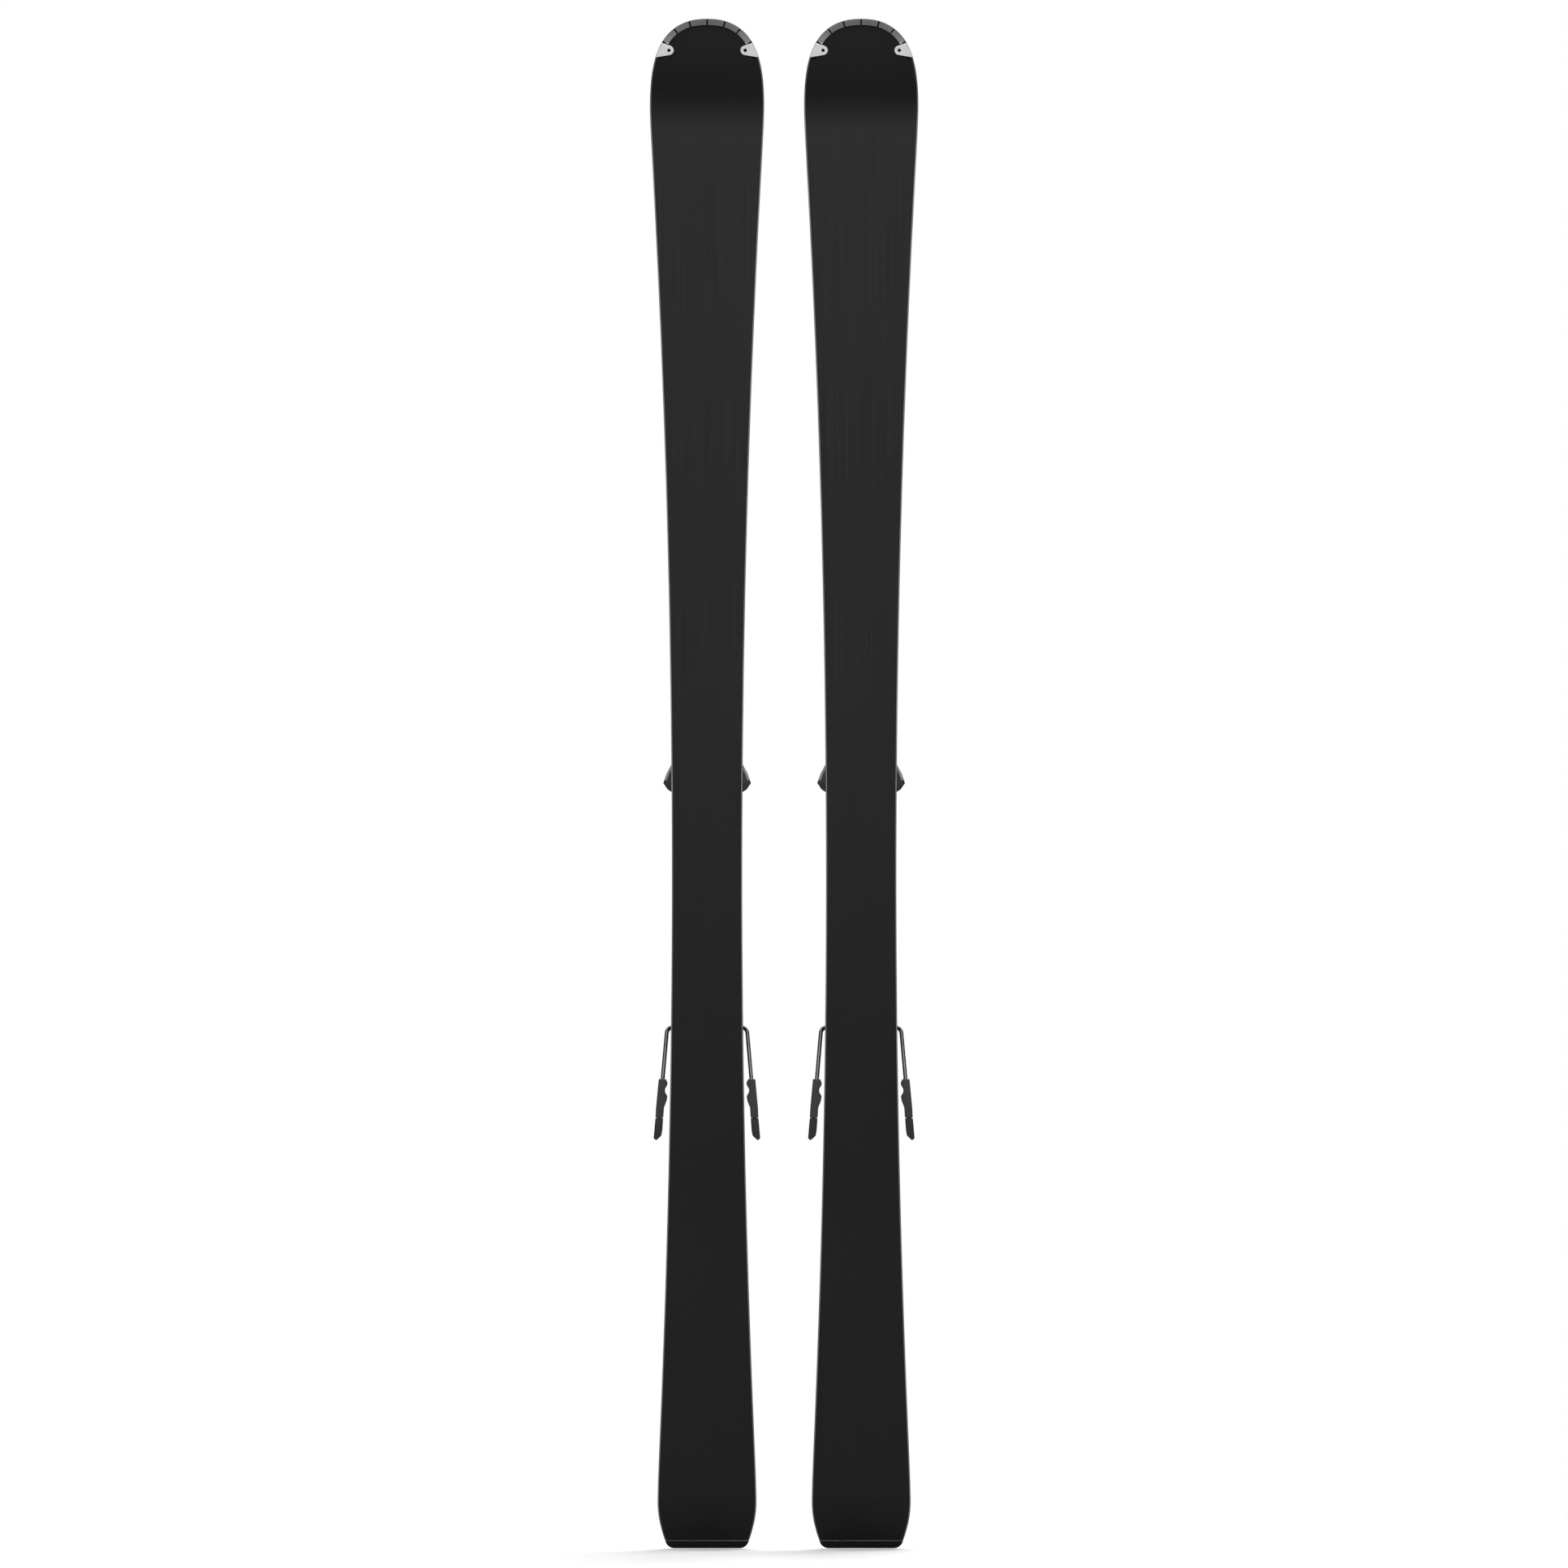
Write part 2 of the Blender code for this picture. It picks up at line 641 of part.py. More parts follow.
def heel_piece(ski):
    pivot_z, pivot_y = HEEL_PIVOT
    ear = [(458.0, TRACK_TOP - 1.0), (490.0, TRACK_TOP - 1.0)] + arc(HEEL_PIVOT, 9.0, 0, 180, 9)
    boss = [(BRAKE_PIVOT[0] - BOSS_HALF, TRACK_TOP - 1.0), (BRAKE_PIVOT[0] + BOSS_HALF, TRACK_TOP - 1.0)]
    boss += arc(BRAKE_PIVOT, BOSS_HALF, 0, 180, 7)
    lug = [(427.0, TRACK_TOP - 1.0), (437.0, TRACK_TOP - 1.0)] + arc(LATCH_PIVOT, 4.0, 0, 180, 7)
    steps = []
    for sign in (-1.0, 1.0):
        for outline, near, far in ((ear, 18.0, 21.0), (boss, 25.4, 29.7), (lug, 15.6, 18.6)):
            low, high = sorted((sign * near, sign * far))
            steps.append((JOIN, prism("X", outline, low, high)))
    steps.append((CUT, rod("X", HEEL_PIVOT, HEEL_PIN_RADIUS + GAP, -23.0, 23.0)))
    steps.append((CUT, rod("X", BRAKE_PIVOT, WIRE_RADIUS + GAP, -35.0, 35.0)))
    steps.append((CUT, rod("X", LATCH_PIVOT, 1.8, -20.0, 20.0, 12)))
    ski.part(
        "heel_track",
        carrier(TRACK_LOW, TRACK_HIGH, TRACK_TOP),
        PLASTIC,
        pivot=(0.0, TRACK_TOP, TRACK_LOW),
        steps=steps,
    )

    latch_z, latch_y = LATCH_PIVOT
    blade = arc(LATCH_PIVOT, 2.5, -70, 70, 5)
    blade += [(latch_z - 3.0, latch_y + 1.8), (410.0, latch_y + 2.2), (408.0, latch_y)]
    blade += [(410.0, latch_y - 1.6), (latch_z - 3.0, latch_y - 1.6)]
    ski.part(
        "heel_latch",
        prism("X", blade, -15.2, 15.2),
        GREY_PLASTIC,
        pivot=(0.0, latch_y, latch_z),
        steps=[(JOIN, rod("X", LATCH_PIVOT, 1.5, -18.4, 18.4, 12))],
    )

    ski.part("heel_pin", rod("X", HEEL_PIVOT, HEEL_PIN_RADIUS, -29.5, 29.5), BRIGHT_STEEL)

    profile = [
        (452.0, 38.0),
        (501.0, 38.0),
        (512.0, 48.0),
        (514.0, 66.0),
        (514.0, 74.0),
        (508.0, 79.0),
        (474.0, 84.0),
        (446.0, 82.0),
        (432.0, 73.0),
        (430.0, 54.0),
        (448.0, 46.0),
    ]
    slot = [(422.0, 76.2), (464.0, 76.2), (464.0, 74.6), (468.0, 74.0), (472.0, 75.3)]
    slot += [(474.0, 80.0), (474.0, 96.0), (422.0, 96.0)]
    steps = [
        (CUT, block((-26.6, 26.6), (20.0, 71.0), (433.6, 494.0))),
        (CUT, rod("Y", (0.0, HEEL_CENTRE), HEEL_RADIUS, 30.0, HEEL_LEDGE, 36)),
        (CUT, rod("X", HEEL_PIVOT, HEEL_PIN_RADIUS + GAP, -35.0, 35.0)),
        (CUT, rod("Z", (0.0, HEEL_AXIS), 5.2, 422.0, 440.0)),
        (CUT, prism("X", slot, -13.4, 13.4)),
        (CUT, rod("X", LEVER_PIVOT, 2.3, -19.0, 19.0, 12)),
        (JOIN, block((-17.0, 17.0), (30.0, 46.0), (494.5, 501.5))),
        (JOIN, block((-17.0, 17.0), (29.0, SOLE_Y - 1.0), (479.0, 526.0))),
    ]
    ski.part(
        "heel_housing",
        prism("X", profile, -30.0, 30.0),
        PLASTIC,
        pivot=(0.0, pivot_y, pivot_z),
        bevel=2.5,
        steps=steps,
    )

    lever_z, lever_y = LEVER_PIVOT
    along = Vector((-math.cos(LEVER_ANGLE), math.sin(LEVER_ANGLE)))
    up = Vector((along.y, -along.x))
    blade = []
    side_view = [(0.0, -3.0), (LEVER_LONG, -2.0), (LEVER_LONG + 3.0, 3.0)]
    side_view += [(LEVER_LONG, 6.0), (LEVER_LONG - 8.0, 3.5), (0.0, 4.0)]
    for reach, rise in side_view:
        point = Vector(LEVER_PIVOT) + along * reach + up * rise
        blade.append((point.x, point.y))
    steps = [
        (JOIN, rod("X", LEVER_PIVOT, 5.3, -12.9, 12.9)),
        (JOIN, rod("X", LEVER_PIVOT, 2.0, -17.5, 17.5, 12)),
    ]
    ski.part(
        "heel_lever",
        prism("X", blade, -13.0, 13.0),
        GREY_PLASTIC,
        pivot=(0.0, lever_y, lever_z),
        bevel=1.0,
        steps=steps,
    )

    ski.part("heel_spring", helix(HEEL_AXIS, 440.4, 460.6, 6.3, SPRING_WIRE, SPRING_TURNS), BRIGHT_STEEL)
    piston = rod("Z", (0.0, HEEL_AXIS), 7.6, 461.0, 469.3)
    ski.part("heel_piston", piston, BRIGHT_STEEL, pivot=(0.0, HEEL_AXIS, 461.0))
    slot = (HEEL_AXIS - SCREW_SLOT_HALF, HEEL_AXIS + SCREW_SLOT_HALF)
    steps = [
        (JOIN, rod("Z", (0.0, HEEL_AXIS), SCREW_RADIUS, 429.5, 437.0)),
        (CUT, block((-6.0, 6.0), slot, (424.0, 431.2))),
    ]
    disc = rod("Z", (0.0, HEEL_AXIS), 7.6, 436.0, 440.0)
    ski.part("heel_screw", disc, BRIGHT_STEEL, pivot=(0.0, HEEL_AXIS, 436.0), steps=steps)


# ---------------------------------------------------------------- brake


def brake(ski):
    brake_z, brake_y = BRAKE_PIVOT
    pivot = (0.0, brake_y, brake_z)
    root = Vector(ARM_ROOT)
    arm = Vector(ARM_END) - root
    crank = raised([(brake_z + CRANK_LONG, brake_y)])[0]
    right = [
        tuple(root + arm * WIRE_STOP),
        ARM_ROOT,
        (CRANK_INNER, brake_y, brake_z),
        (CRANK_INNER, crank[1], crank[0]),
    ]
    corners = right + [(-x, y, z) for x, y, z in reversed(right)]
    bends = [ARM_BEND, CRANK_BEND, CRANK_BEND, CRANK_BEND, CRANK_BEND, ARM_BEND]
    ski.part("brake_wire", tube(rounded_path(corners, bends), WIRE_RADIUS, 8), BRIGHT_STEEL, pivot=pivot)

    plate = [(6.0, 31.0), (49.0, 31.0), (52.0, 33.0), (50.0, 35.0), (6.0, 35.0)]
    plate = [(brake_z + reach, y) for reach, y in plate]
    hook = [(31.0, 24.4), (41.0, 24.4), (41.0, 32.0), (31.0, 32.0)]
    hook = [(brake_z + reach, y) for reach, y in hook]
    steps = [
        (JOIN, prism("X", raised(hook), -12.0, -8.0)),
        (JOIN, prism("X", raised(hook), 8.0, 12.0)),
        (CUT, rod("X", crank, WIRE_RADIUS + GAP, -14.0, 14.0, 12)),
    ]
    pedal = prism("X", raised(plate), -27.0, 27.0)
    ski.part("brake_pedal", pedal, PLASTIC, pivot=pivot, bevel=1.0, steps=steps)

    foot = [
        (50.6, 490.9),
        (43.0, 490.9),
        (41.2, 486.8),
        (42.0, 483.4),
        (43.9, 480.0),
        (43.9, 477.0),
        (41.3, 472.7),
        (42.2, 468.2),
        (44.9, 461.0),
        (46.5, 438.0),
        (47.8, 432.2),
        (53.1, 427.2),
        (55.6, 429.4),
        (53.4, 459.5),
    ]
    rings = []
    for side in (-1.0, 1.0):
        ring = []
        for x, z in foot:
            share = (z - root.z) / arm.z
            ring.append((x, root.y + arm.y * share + 0.5 * side * FOOT_DEPTH, z))
        rings.append(ring)
    bore = [tuple(root + arm * BORE_START), tuple(root + arm * BORE_END)]
    for side, turn in (("left", mirrored), ("right", tuple)):
        steps = [(CUT, turn(tube(bore, WIRE_RADIUS + GAP, 12)))]
        ski.part("brake_foot_" + side, turn(loft(rings)), GREY_PLASTIC, pivot=pivot, bevel=1.3, steps=steps)


# ---------------------------------------------------------------- the pair


def build():
    clear_scene()
    parts = new_collection("alpine_skis")
    cutters = new_collection("cutters")
    for prefix, ski_x in (("ski1_", 0.0), ("ski2_", SKI_SPACING)):
        ski = SkiBuilder(prefix, ski_x, parts, cutters)
        ski_layers(ski)
        tail_guard(ski)
        tip_guard(ski)
        binding_plate(ski)
        toe_piece(ski)
        heel_piece(ski)
        brake(ski)


build()
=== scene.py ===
"""The looks of a pair of alpine skis with bindings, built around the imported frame.

Shapes are written in millimetres as (x, y, z), with x from a ski's centreline, y from the flat
middle of its base and z from its tail. The two skis' places come from the frame.
"""

import math

import bmesh
import bpy
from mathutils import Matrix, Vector


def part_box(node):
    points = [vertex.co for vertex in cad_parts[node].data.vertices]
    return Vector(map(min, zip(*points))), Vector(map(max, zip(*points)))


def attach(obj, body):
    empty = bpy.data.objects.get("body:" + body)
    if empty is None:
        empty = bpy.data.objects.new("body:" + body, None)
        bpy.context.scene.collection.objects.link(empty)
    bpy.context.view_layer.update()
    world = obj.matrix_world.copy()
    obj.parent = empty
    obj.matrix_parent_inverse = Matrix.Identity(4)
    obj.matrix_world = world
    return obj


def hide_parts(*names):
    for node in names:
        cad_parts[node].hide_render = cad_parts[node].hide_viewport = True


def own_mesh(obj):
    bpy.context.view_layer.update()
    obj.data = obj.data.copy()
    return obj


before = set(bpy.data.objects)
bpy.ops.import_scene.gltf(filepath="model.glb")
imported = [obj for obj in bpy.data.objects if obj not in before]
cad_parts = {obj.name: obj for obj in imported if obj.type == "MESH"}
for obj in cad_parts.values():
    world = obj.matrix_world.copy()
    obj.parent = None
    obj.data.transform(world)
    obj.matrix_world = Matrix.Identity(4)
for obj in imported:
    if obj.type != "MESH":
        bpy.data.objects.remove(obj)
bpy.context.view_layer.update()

MM = 0.001

# Outline and side profile of a ski
WAIST_HALF = 36.85
WAIST_Z = 703.0
SIDECUT_RADIUS = 13500.0
SHOVEL_HALF = 60.27
TIP_CENTRE = 1473.5
TIP_REACH = 126.5
LENGTH = TIP_CENTRE + TIP_REACH
TIP_POWER_X = 2.28
TIP_POWER_Z = 3.88
PLAIN_TIP = 0.9
TIP_TURN = 1515.0
TURN_REACH = LENGTH - TIP_TURN
TAIL_HALF = 52.1
TAIL_WIDEST = 52.0
TAIL_TAPER = 238.0
TAIL_CORNER = 6.0
OUTLINE_BLEND = 1.2
CAMBER = 4.0
FLAT_LOW = 390.0
FLAT_HIGH = 910.0
TAIL_CONTACT = 55.0
TIP_CONTACT = 1465.0
TAIL_RISE = 8.0
TIP_RISE = 48.0
SKI_THICK = 12.5
TIP_THICK = 4.8
TAIL_THICK = 5.5
THIN_FROM = 1480.0
BODY_START = 8.1
BODY_END = 1599.85

# Layers
EDGE_SHOWN = 1.3
EDGE_THICK = 2.0
EDGE_BEVEL = 0.25
EDGE_END = 1559.0
BASE_THICK = 1.4
BASE_GAP = 0.1
BASE_LEAST = 0.6

# Guards
GUARD_WIDE = 6.6
RIM_WIDE = 0.5
SLOT_WIDE = 1.4
SLOT_X = (0.0, 18.9, 34.9, 46.9)
SLOTS_ABOVE = 1560.0
TAB_CENTRE = (39.9, 1566.6)
TAB_RADIUS = 5.0
TAB_START = 1559.1
TAB_INSET = 0.15
# Where the guard's painted light starts: a painted highlight on the tabs, then painted shade towards the
# tip
GUARD_PAINTED_LIGHT_FROM = 1566.0
RING_STEP = 1.2
CAP_TOP = 7.8
CAP_CORNER = 0.5
CAP_RIVET = (27.0, 4.0)

# Binding plate and tracks
SOLE_Y = 36.0
PLATE_LOW = 400.0
PLATE_HIGH = 898.0
PLATE_HALF = 32.0
PLATE_SCREW_X = 28.0
PLATE_SCREW_Z = (406.0, 584.0, 636.0, 698.0, 728.0, 892.0)
RAIL_TOP = 22.2
TRACK_TOP = 25.0
GAP = 0.3

# Toe and heel pieces; a pivot along X is (z, y), and the wings' pin along Y is (x, z)
TOE_AXIS_Y = 47.0
HOOD_HALF = 27.0
WING_PIN = (18.0, 828.0)
CUP_HALF = 30.0
HEEL_PIVOT = (474.0, 56.0)
LATCH_PIVOT = (432.0, 28.0)
LEVER_PIVOT = (468.0, 80.0)
LEVER_ANGLE = math.radians(20.7)
MARK_WIDE = 0.8
TOE_SPRING = (846.3, 864.7)
TOE_PRESS = 4.0
HEEL_SPRING = (440.4, 460.6)
HEEL_PRESS = 4.5
SPRING_WIRE = 0.9
SPRING_TURNS = 5

# Brake
BRAKE_PIVOT = (544.7, 28.0)
CRANK_X = 21.0
CRANK_LONG = 36.0
CRANK_ANGLE = math.radians(36.0)
CRANK_BEND = 4.0
WIRE_RADIUS = 2.15
ARM_ROOT = Vector((41.7, 28.0, 544.7))
ARM_END = Vector((51.6, -48.0, 430.0))
ARM_BEND = 7.5
ARM_INSIDE = 36.0
WIRE_STOP = 0.9
BORE_START = 0.42
BORE_STOP = 0.91
FOOT_DEPTH = 12.0
FOOT_TIP_DEPTH = FOOT_DEPTH - 0.8


# ---------------------------------------------------------------- places in the frame, in metres


def centreline(name):
    """The X of a ski's middle."""
    low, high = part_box(name + "_base")
    return 0.5 * (low.x + high.x)


HALF_SPACING = 0.5 * (centreline("ski2") - centreline("ski1"))
TAIL_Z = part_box("ski1_tail_guard")[0].z
BOOT_ORIGIN = -TAIL_Z / MM


def frame_z(z):
    """The frame's Z of a height above the tail."""
    return (z - BOOT_ORIGIN) * MM


# ---------------------------------------------------------------- outline and side profile


def smooth_min(a, b):
    return 0.5 * (a + b - math.hypot(a - b, OUTLINE_BLEND))


def smooth_step(t):
    t = min(max(t, 0.0), 1.0)
    return t * t * (3.0 - 2.0 * t)


def half_width(z):
    """Half of the ski's width: a sidecut arc, closed by a rounded tip and a tapered tail."""
    sidecut = WAIST_HALF + (z - WAIST_Z) ** 2 / (2.0 * SIDECUT_RADIUS)
    if z > TIP_CENTRE:
        reach = min((z - TIP_CENTRE) / TIP_REACH, 1.0)
        limit = SHOVEL_HALF * (1.0 - reach ** TIP_POWER_Z) ** (1.0 / TIP_POWER_X)
        if limit < PLAIN_TIP * SHOVEL_HALF:
            return limit
        return smooth_min(sidecut, limit)
    if z > WAIST_Z:
        return smooth_min(sidecut, SHOVEL_HALF)
    limit = TAIL_HALF - max(0.0, TAIL_WIDEST - z) ** 2 / TAIL_TAPER
    half = smooth_min(sidecut, limit)
    if z < TAIL_CORNER:
        half -= TAIL_CORNER - math.sqrt(TAIL_CORNER ** 2 - (TAIL_CORNER - z) ** 2)
    return half


def base_y(z):
    """The running base's height: camber between the contact lines, and a rise at both ends."""
    if z > TIP_CONTACT:
        return -CAMBER + TIP_RISE * ((z - TIP_CONTACT) / (LENGTH - TIP_CONTACT)) ** 2
    if z < TAIL_CONTACT:
        return -CAMBER + TAIL_RISE * ((TAIL_CONTACT - z) / TAIL_CONTACT) ** 2
    if z > FLAT_HIGH:
        return -CAMBER * smooth_step((z - FLAT_HIGH) / (TIP_CONTACT - FLAT_HIGH))
    return -CAMBER * smooth_step((FLAT_LOW - z) / (FLAT_LOW - TAIL_CONTACT))


def thickness(z):
    if z > FLAT_HIGH:
        share = smooth_step((z - FLAT_HIGH) / (THIN_FROM - FLAT_HIGH))
        return SKI_THICK + (TIP_THICK - SKI_THICK) * share
    share = smooth_step((FLAT_LOW - z) / (FLAT_LOW - TAIL_CONTACT))
    return SKI_THICK + (TAIL_THICK - SKI_THICK) * share


def spread(low, high, count):
    """Evenly spaced numbers from low to high, both included."""
    return [low + (high - low) * i / (count - 1) for i in range(count)]


def stations():
    """Heights of the ski's cross-sections, closer together where its outline turns."""
    sweep_end = math.asin((BODY_END - TIP_TURN) / TURN_REACH)
    heights = spread(BODY_START, TAIL_CONTACT, 12)
    heights += spread(TAIL_CONTACT, TIP_CONTACT, 90)
    heights += spread(TIP_CONTACT, TIP_TURN, 14)
    heights += [TIP_TURN + TURN_REACH * math.sin(a) for a in spread(0.0, sweep_end, 48)]
    heights.append(EDGE_END)
    return sorted(set(round(z, 4) for z in heights))


STATIONS = stations()


# ---------------------------------------------------------------- shapes: (points, faces)


def loft(rings):
    """A closed skin over rings with the same number of points."""
    count = len(rings[0])
    points = [tuple(p) for ring in rings for p in ring]
    faces = [tuple(range(count))]
    for r in range(len(rings) - 1):
        low = r * count
        for i in range(count):
            j = (i + 1) % count
            faces.append((low + i, low + j, low + count + j, low + count + i))
    top = (len(rings) - 1) * count
    faces.append(tuple(top + i for i in reversed(range(count))))
    return points, faces


def prism(axis, outline, low, high):
    """An outline pushed along X as (z, y), along Y as (x, z) or along Z as (x, y)."""
    place = {
        "X": lambda a, b, t: (t, b, a),
        "Y": lambda a, b, t: (a, t, b),
        "Z": lambda a, b, t: (a, b, t),
    }[axis]
    return loft([[place(a, b, t) for a, b in outline] for t in (low, high)])


def block(x, y, z):
    return prism("Z", [(x[0], y[0]), (x[1], y[0]), (x[1], y[1]), (x[0], y[1])], z[0], z[1])


def arc(centre, radius, start, end, count):
    """Points of an arc between two angles in degrees."""
    angles = [math.radians(a) for a in spread(start, end, count)]
    return [(centre[0] + radius * math.cos(a), centre[1] + radius * math.sin(a)) for a in angles]


def rod(axis, centre, radius, low, high, sides=40):
    return prism(axis, arc(centre, radius, 0.0, 360.0, sides + 1)[:-1], low, high)


def slab(x, z, y, corner, steps=8):
    """A plate that faces along Y, with round corners."""
    outline = arc((x[1] - corner, z[1] - corner), corner, 0, 90, steps)
    outline += arc((x[0] + corner, z[1] - corner), corner, 90, 180, steps)
    outline += arc((x[0] + corner, z[0] + corner), corner, 180, 270, steps)
    outline += arc((x[1] - corner, z[0] + corner), corner, 270, 360, steps)
    return prism("Y", outline, y[0], y[1])


def rounded(outline, radius, steps=5):
    """An outline with each corner replaced by a small arc."""
    count = len(outline)
    result = []
    for i in range(count):
        corner = Vector(outline[i])
        back = Vector(outline[i - 1]) - corner
        on = Vector(outline[(i + 1) % count]) - corner
        reach = min(radius, 0.4 * back.length, 0.4 * on.length)
        start = corner + back.normalized() * reach
        end = corner + on.normalized() * reach
        for t in spread(0.0, 1.0, steps):
            point = start.lerp(corner, t).lerp(corner.lerp(end, t), t)
            result.append((point.x, point.y))
    return result


def tube(path, radius, sides=20):
    """A round wire along a path, whose rings turn with it and don't twist."""
    line = [Vector(p) for p in path]
    ahead = (line[1] - line[0]).normalized()
    side = ahead.orthogonal().normalized()
    rings = []
    for i, point in enumerate(line):
        before = line[max(i - 1, 0)]
        after = line[min(i + 1, len(line) - 1)]
        turned = (after - before).normalized()
        side = ahead.rotation_difference(turned) @ side
        ahead = turned
        other = ahead.cross(side)
        ring = []
        for k in range(sides):
            a = 2.0 * math.pi * k / sides
            ring.append(tuple(point + radius * (side * math.cos(a) + other * math.sin(a))))
        rings.append(ring)
    return loft(rings)


def bent(corners, radii, steps=10):
    """A polyline with each inner corner replaced by a bend of its own radius."""
    line = [Vector(c) for c in corners]
    path = [line[0]]
    for before, corner, after, radius in zip(line, line[1:], line[2:], radii):
        back = (before - corner).normalized()
        on = (after - corner).normalized()
        half = 0.5 * back.angle(on)
        reach = radius / math.tan(half)
        centre = corner + (back + on).normalized() * (radius / math.sin(half))
        start = (corner + back * reach - centre).normalized()
        end = (corner + on * reach - centre).normalized()
        for t in spread(0.0, 1.0, steps + 1):
            path.append(centre + start.slerp(end, t) * radius)
    path.append(line[-1])
    return path


def coil(y, low, high, radius, steps=24):
    """A spring along Z whose turns lie closest together at both ends."""
    span = high - low - 2.0 * SPRING_WIRE
    path = []
    for i in range(SPRING_TURNS * steps + 1):
        share = i / (SPRING_TURNS * steps)
        a = 2.0 * math.pi * SPRING_TURNS * share
        rise = share - 0.1 * math.sin(2.0 * math.pi * share)
        path.append((radius * math.cos(a), y + radius * math.sin(a), low + SPRING_WIRE + span * rise))
    return tube(path, SPRING_WIRE, 12)


def mirrored(shape):
    """The same shape on the other side of the ski."""
    points, faces = shape
    return [(-p[0], p[1], p[2]) for p in points], [tuple(reversed(f)) for f in faces]


SIDES = (("left", mirrored), ("right", lambda shape: shape))


def together(*shapes):
    points, faces = [], []
    for more_points, more_faces in shapes:
        start = len(points)
        points += more_points
        faces += [tuple(start + i for i in f) for f in more_faces]
    return points, faces


def screw_head(x, y, z, radius, height, sides=28):
    """A domed screw head on a face that looks along +Y."""
    angles = [2.0 * math.pi * k / sides for k in range(sides)]
    rings = []
    for share, rise in ((1.0, 0.0), (1.0, 0.45), (0.86, 0.85), (0.55, 1.0)):
        reach = radius * share
        top = y + height * rise
        rings.append([(x + reach * math.cos(a), top, z + reach * math.sin(a)) for a in angles])
    return loft(rings)


def scale_marks(long_half, short_half, face, heights):
    """The lines of a setting window, every second one long."""
    marks = []
    for i, z in enumerate(heights):
        half = long_half if i % 2 else short_half
        marks.append(block((-half, half), face, (z, z + MARK_WIDE)))
    return together(*marks)


def raised(outline):
    """(z, y) points turned about the brake's pivot, up to the pedal's resting position."""
    z0, y0 = BRAKE_PIVOT
    c, s = math.cos(CRANK_ANGLE), math.sin(CRANK_ANGLE)
    return [(z0 + (z - z0) * c - (y - y0) * s, y0 + (z - z0) * s + (y - y0) * c) for z, y in outline]


# ---------------------------------------------------------------- materials


class Look:
    """A procedural material on object coordinates, which are the frame's metres."""

    def __init__(self, name, roughness=0.5, metallic=0.0, specular=0.5, coat=0.0):
        self.mat = bpy.data.materials.new(name)
        self.mat.use_nodes = True
        self.nodes = self.mat.node_tree.nodes
        self.links = self.mat.node_tree.links
        self.bsdf = self.nodes["Principled BSDF"]
        self.bsdf.inputs["Roughness"].default_value = roughness
        self.bsdf.inputs["Metallic"].default_value = metallic
        self.bsdf.inputs["Specular IOR Level"].default_value = specular
        self.bsdf.inputs["Coat Weight"].default_value = coat
        self.place = self.nodes.new("ShaderNodeTexCoord").outputs["Object"]

    def put(self, socket, value):
        """Links a socket to another, or gives it a plain value."""
        if isinstance(value, bpy.types.NodeSocket):
            self.links.new(value, socket)
        else:
            socket.default_value = value

    def node(self, kind, **inputs):
        made = self.nodes.new(kind)
        for key, value in inputs.items():
            self.put(made.inputs[key.replace("_", " ")], value)
        return made

    def stretched(self, x, y, z):
        mapping = self.node("ShaderNodeMapping", Vector=self.place)
        mapping.inputs["Scale"].default_value = (x, y, z)
        return mapping.outputs[0]

    def noise(self, vector, scale=1.0, detail=3.0):
        return self.node("ShaderNodeTexNoise", Vector=vector, Scale=scale, Detail=detail).outputs["Fac"]

    def ramp(self, fac, *stops):
        """A colour ramp of (position, colour) stops, where a single number is a grey."""
        made = self.node("ShaderNodeValToRGB", Fac=fac)
        elements = made.color_ramp.elements
        while len(elements) < len(stops):
            elements.new(0.5)
        for element, (position, colour) in zip(elements, stops):
            element.position = position
            if not isinstance(colour, tuple):
                colour = (colour, colour, colour)
            element.color = (*colour, 1.0)
        return made.outputs["Color"]

    def mix(self, fac, a, b, kind="MIX"):
        """Two colours mixed, where a single number is a grey."""
        made = self.nodes.new("ShaderNodeMix")
        made.data_type = "RGBA"
        made.blend_type = kind
        self.put(made.inputs[0], fac)
        for index, value in ((6, a), (7, b)):
            if isinstance(value, float):
                value = (value, value, value)
            if isinstance(value, tuple):
                value = (*value, 1.0)
            self.put(made.inputs[index], value)
        return made.outputs[2]

    def math(self, operation, a, b=0.0):
        made = self.nodes.new("ShaderNodeMath")
        made.operation = operation
        self.put(made.inputs[0], a)
        self.put(made.inputs[1], b)
        return made.outputs[0]

    def axis(self, name):
        return self.node("ShaderNodeSeparateXYZ", Vector=self.place).outputs[name]

    def across(self):
        """The distance from a ski's centreline, whichever of the two it is."""
        shifted = self.math("ADD", self.axis("X"), HALF_SPACING)
        folded = self.math("PINGPONG", shifted, 2.0 * HALF_SPACING)
        return self.math("ABSOLUTE", self.math("SUBTRACT", folded, HALF_SPACING))

    def colour(self, socket):
        self.links.new(socket, self.bsdf.inputs["Base Color"])

    def rough(self, socket):
        self.links.new(socket, self.bsdf.inputs["Roughness"])

    def bump(self, height, strength, distance):
        made = self.node("ShaderNodeBump", Height=height, Strength=strength, Distance=distance)
        self.links.new(made.outputs[0], self.bsdf.inputs["Normal"])


def grained_plastic(name, colour, roughness, grain=2600.0):
    """Moulded plastic: a fine eroded grain, and clouds of slightly lighter and darker tone."""
    look = Look(name, roughness)
    cloud = look.noise(look.place, 38.0, 4.0)
    dark = tuple(0.78 * c for c in colour)
    light = tuple(1.25 * c for c in colour)
    look.colour(look.ramp(cloud, (0.3, dark), (0.7, light)))
    fine = look.noise(look.place, grain, 2.0)
    look.rough(look.ramp(fine, (0.3, roughness - 0.08), (0.7, roughness + 0.1)))
    look.bump(fine, 0.25, 0.0002)
    return look.mat


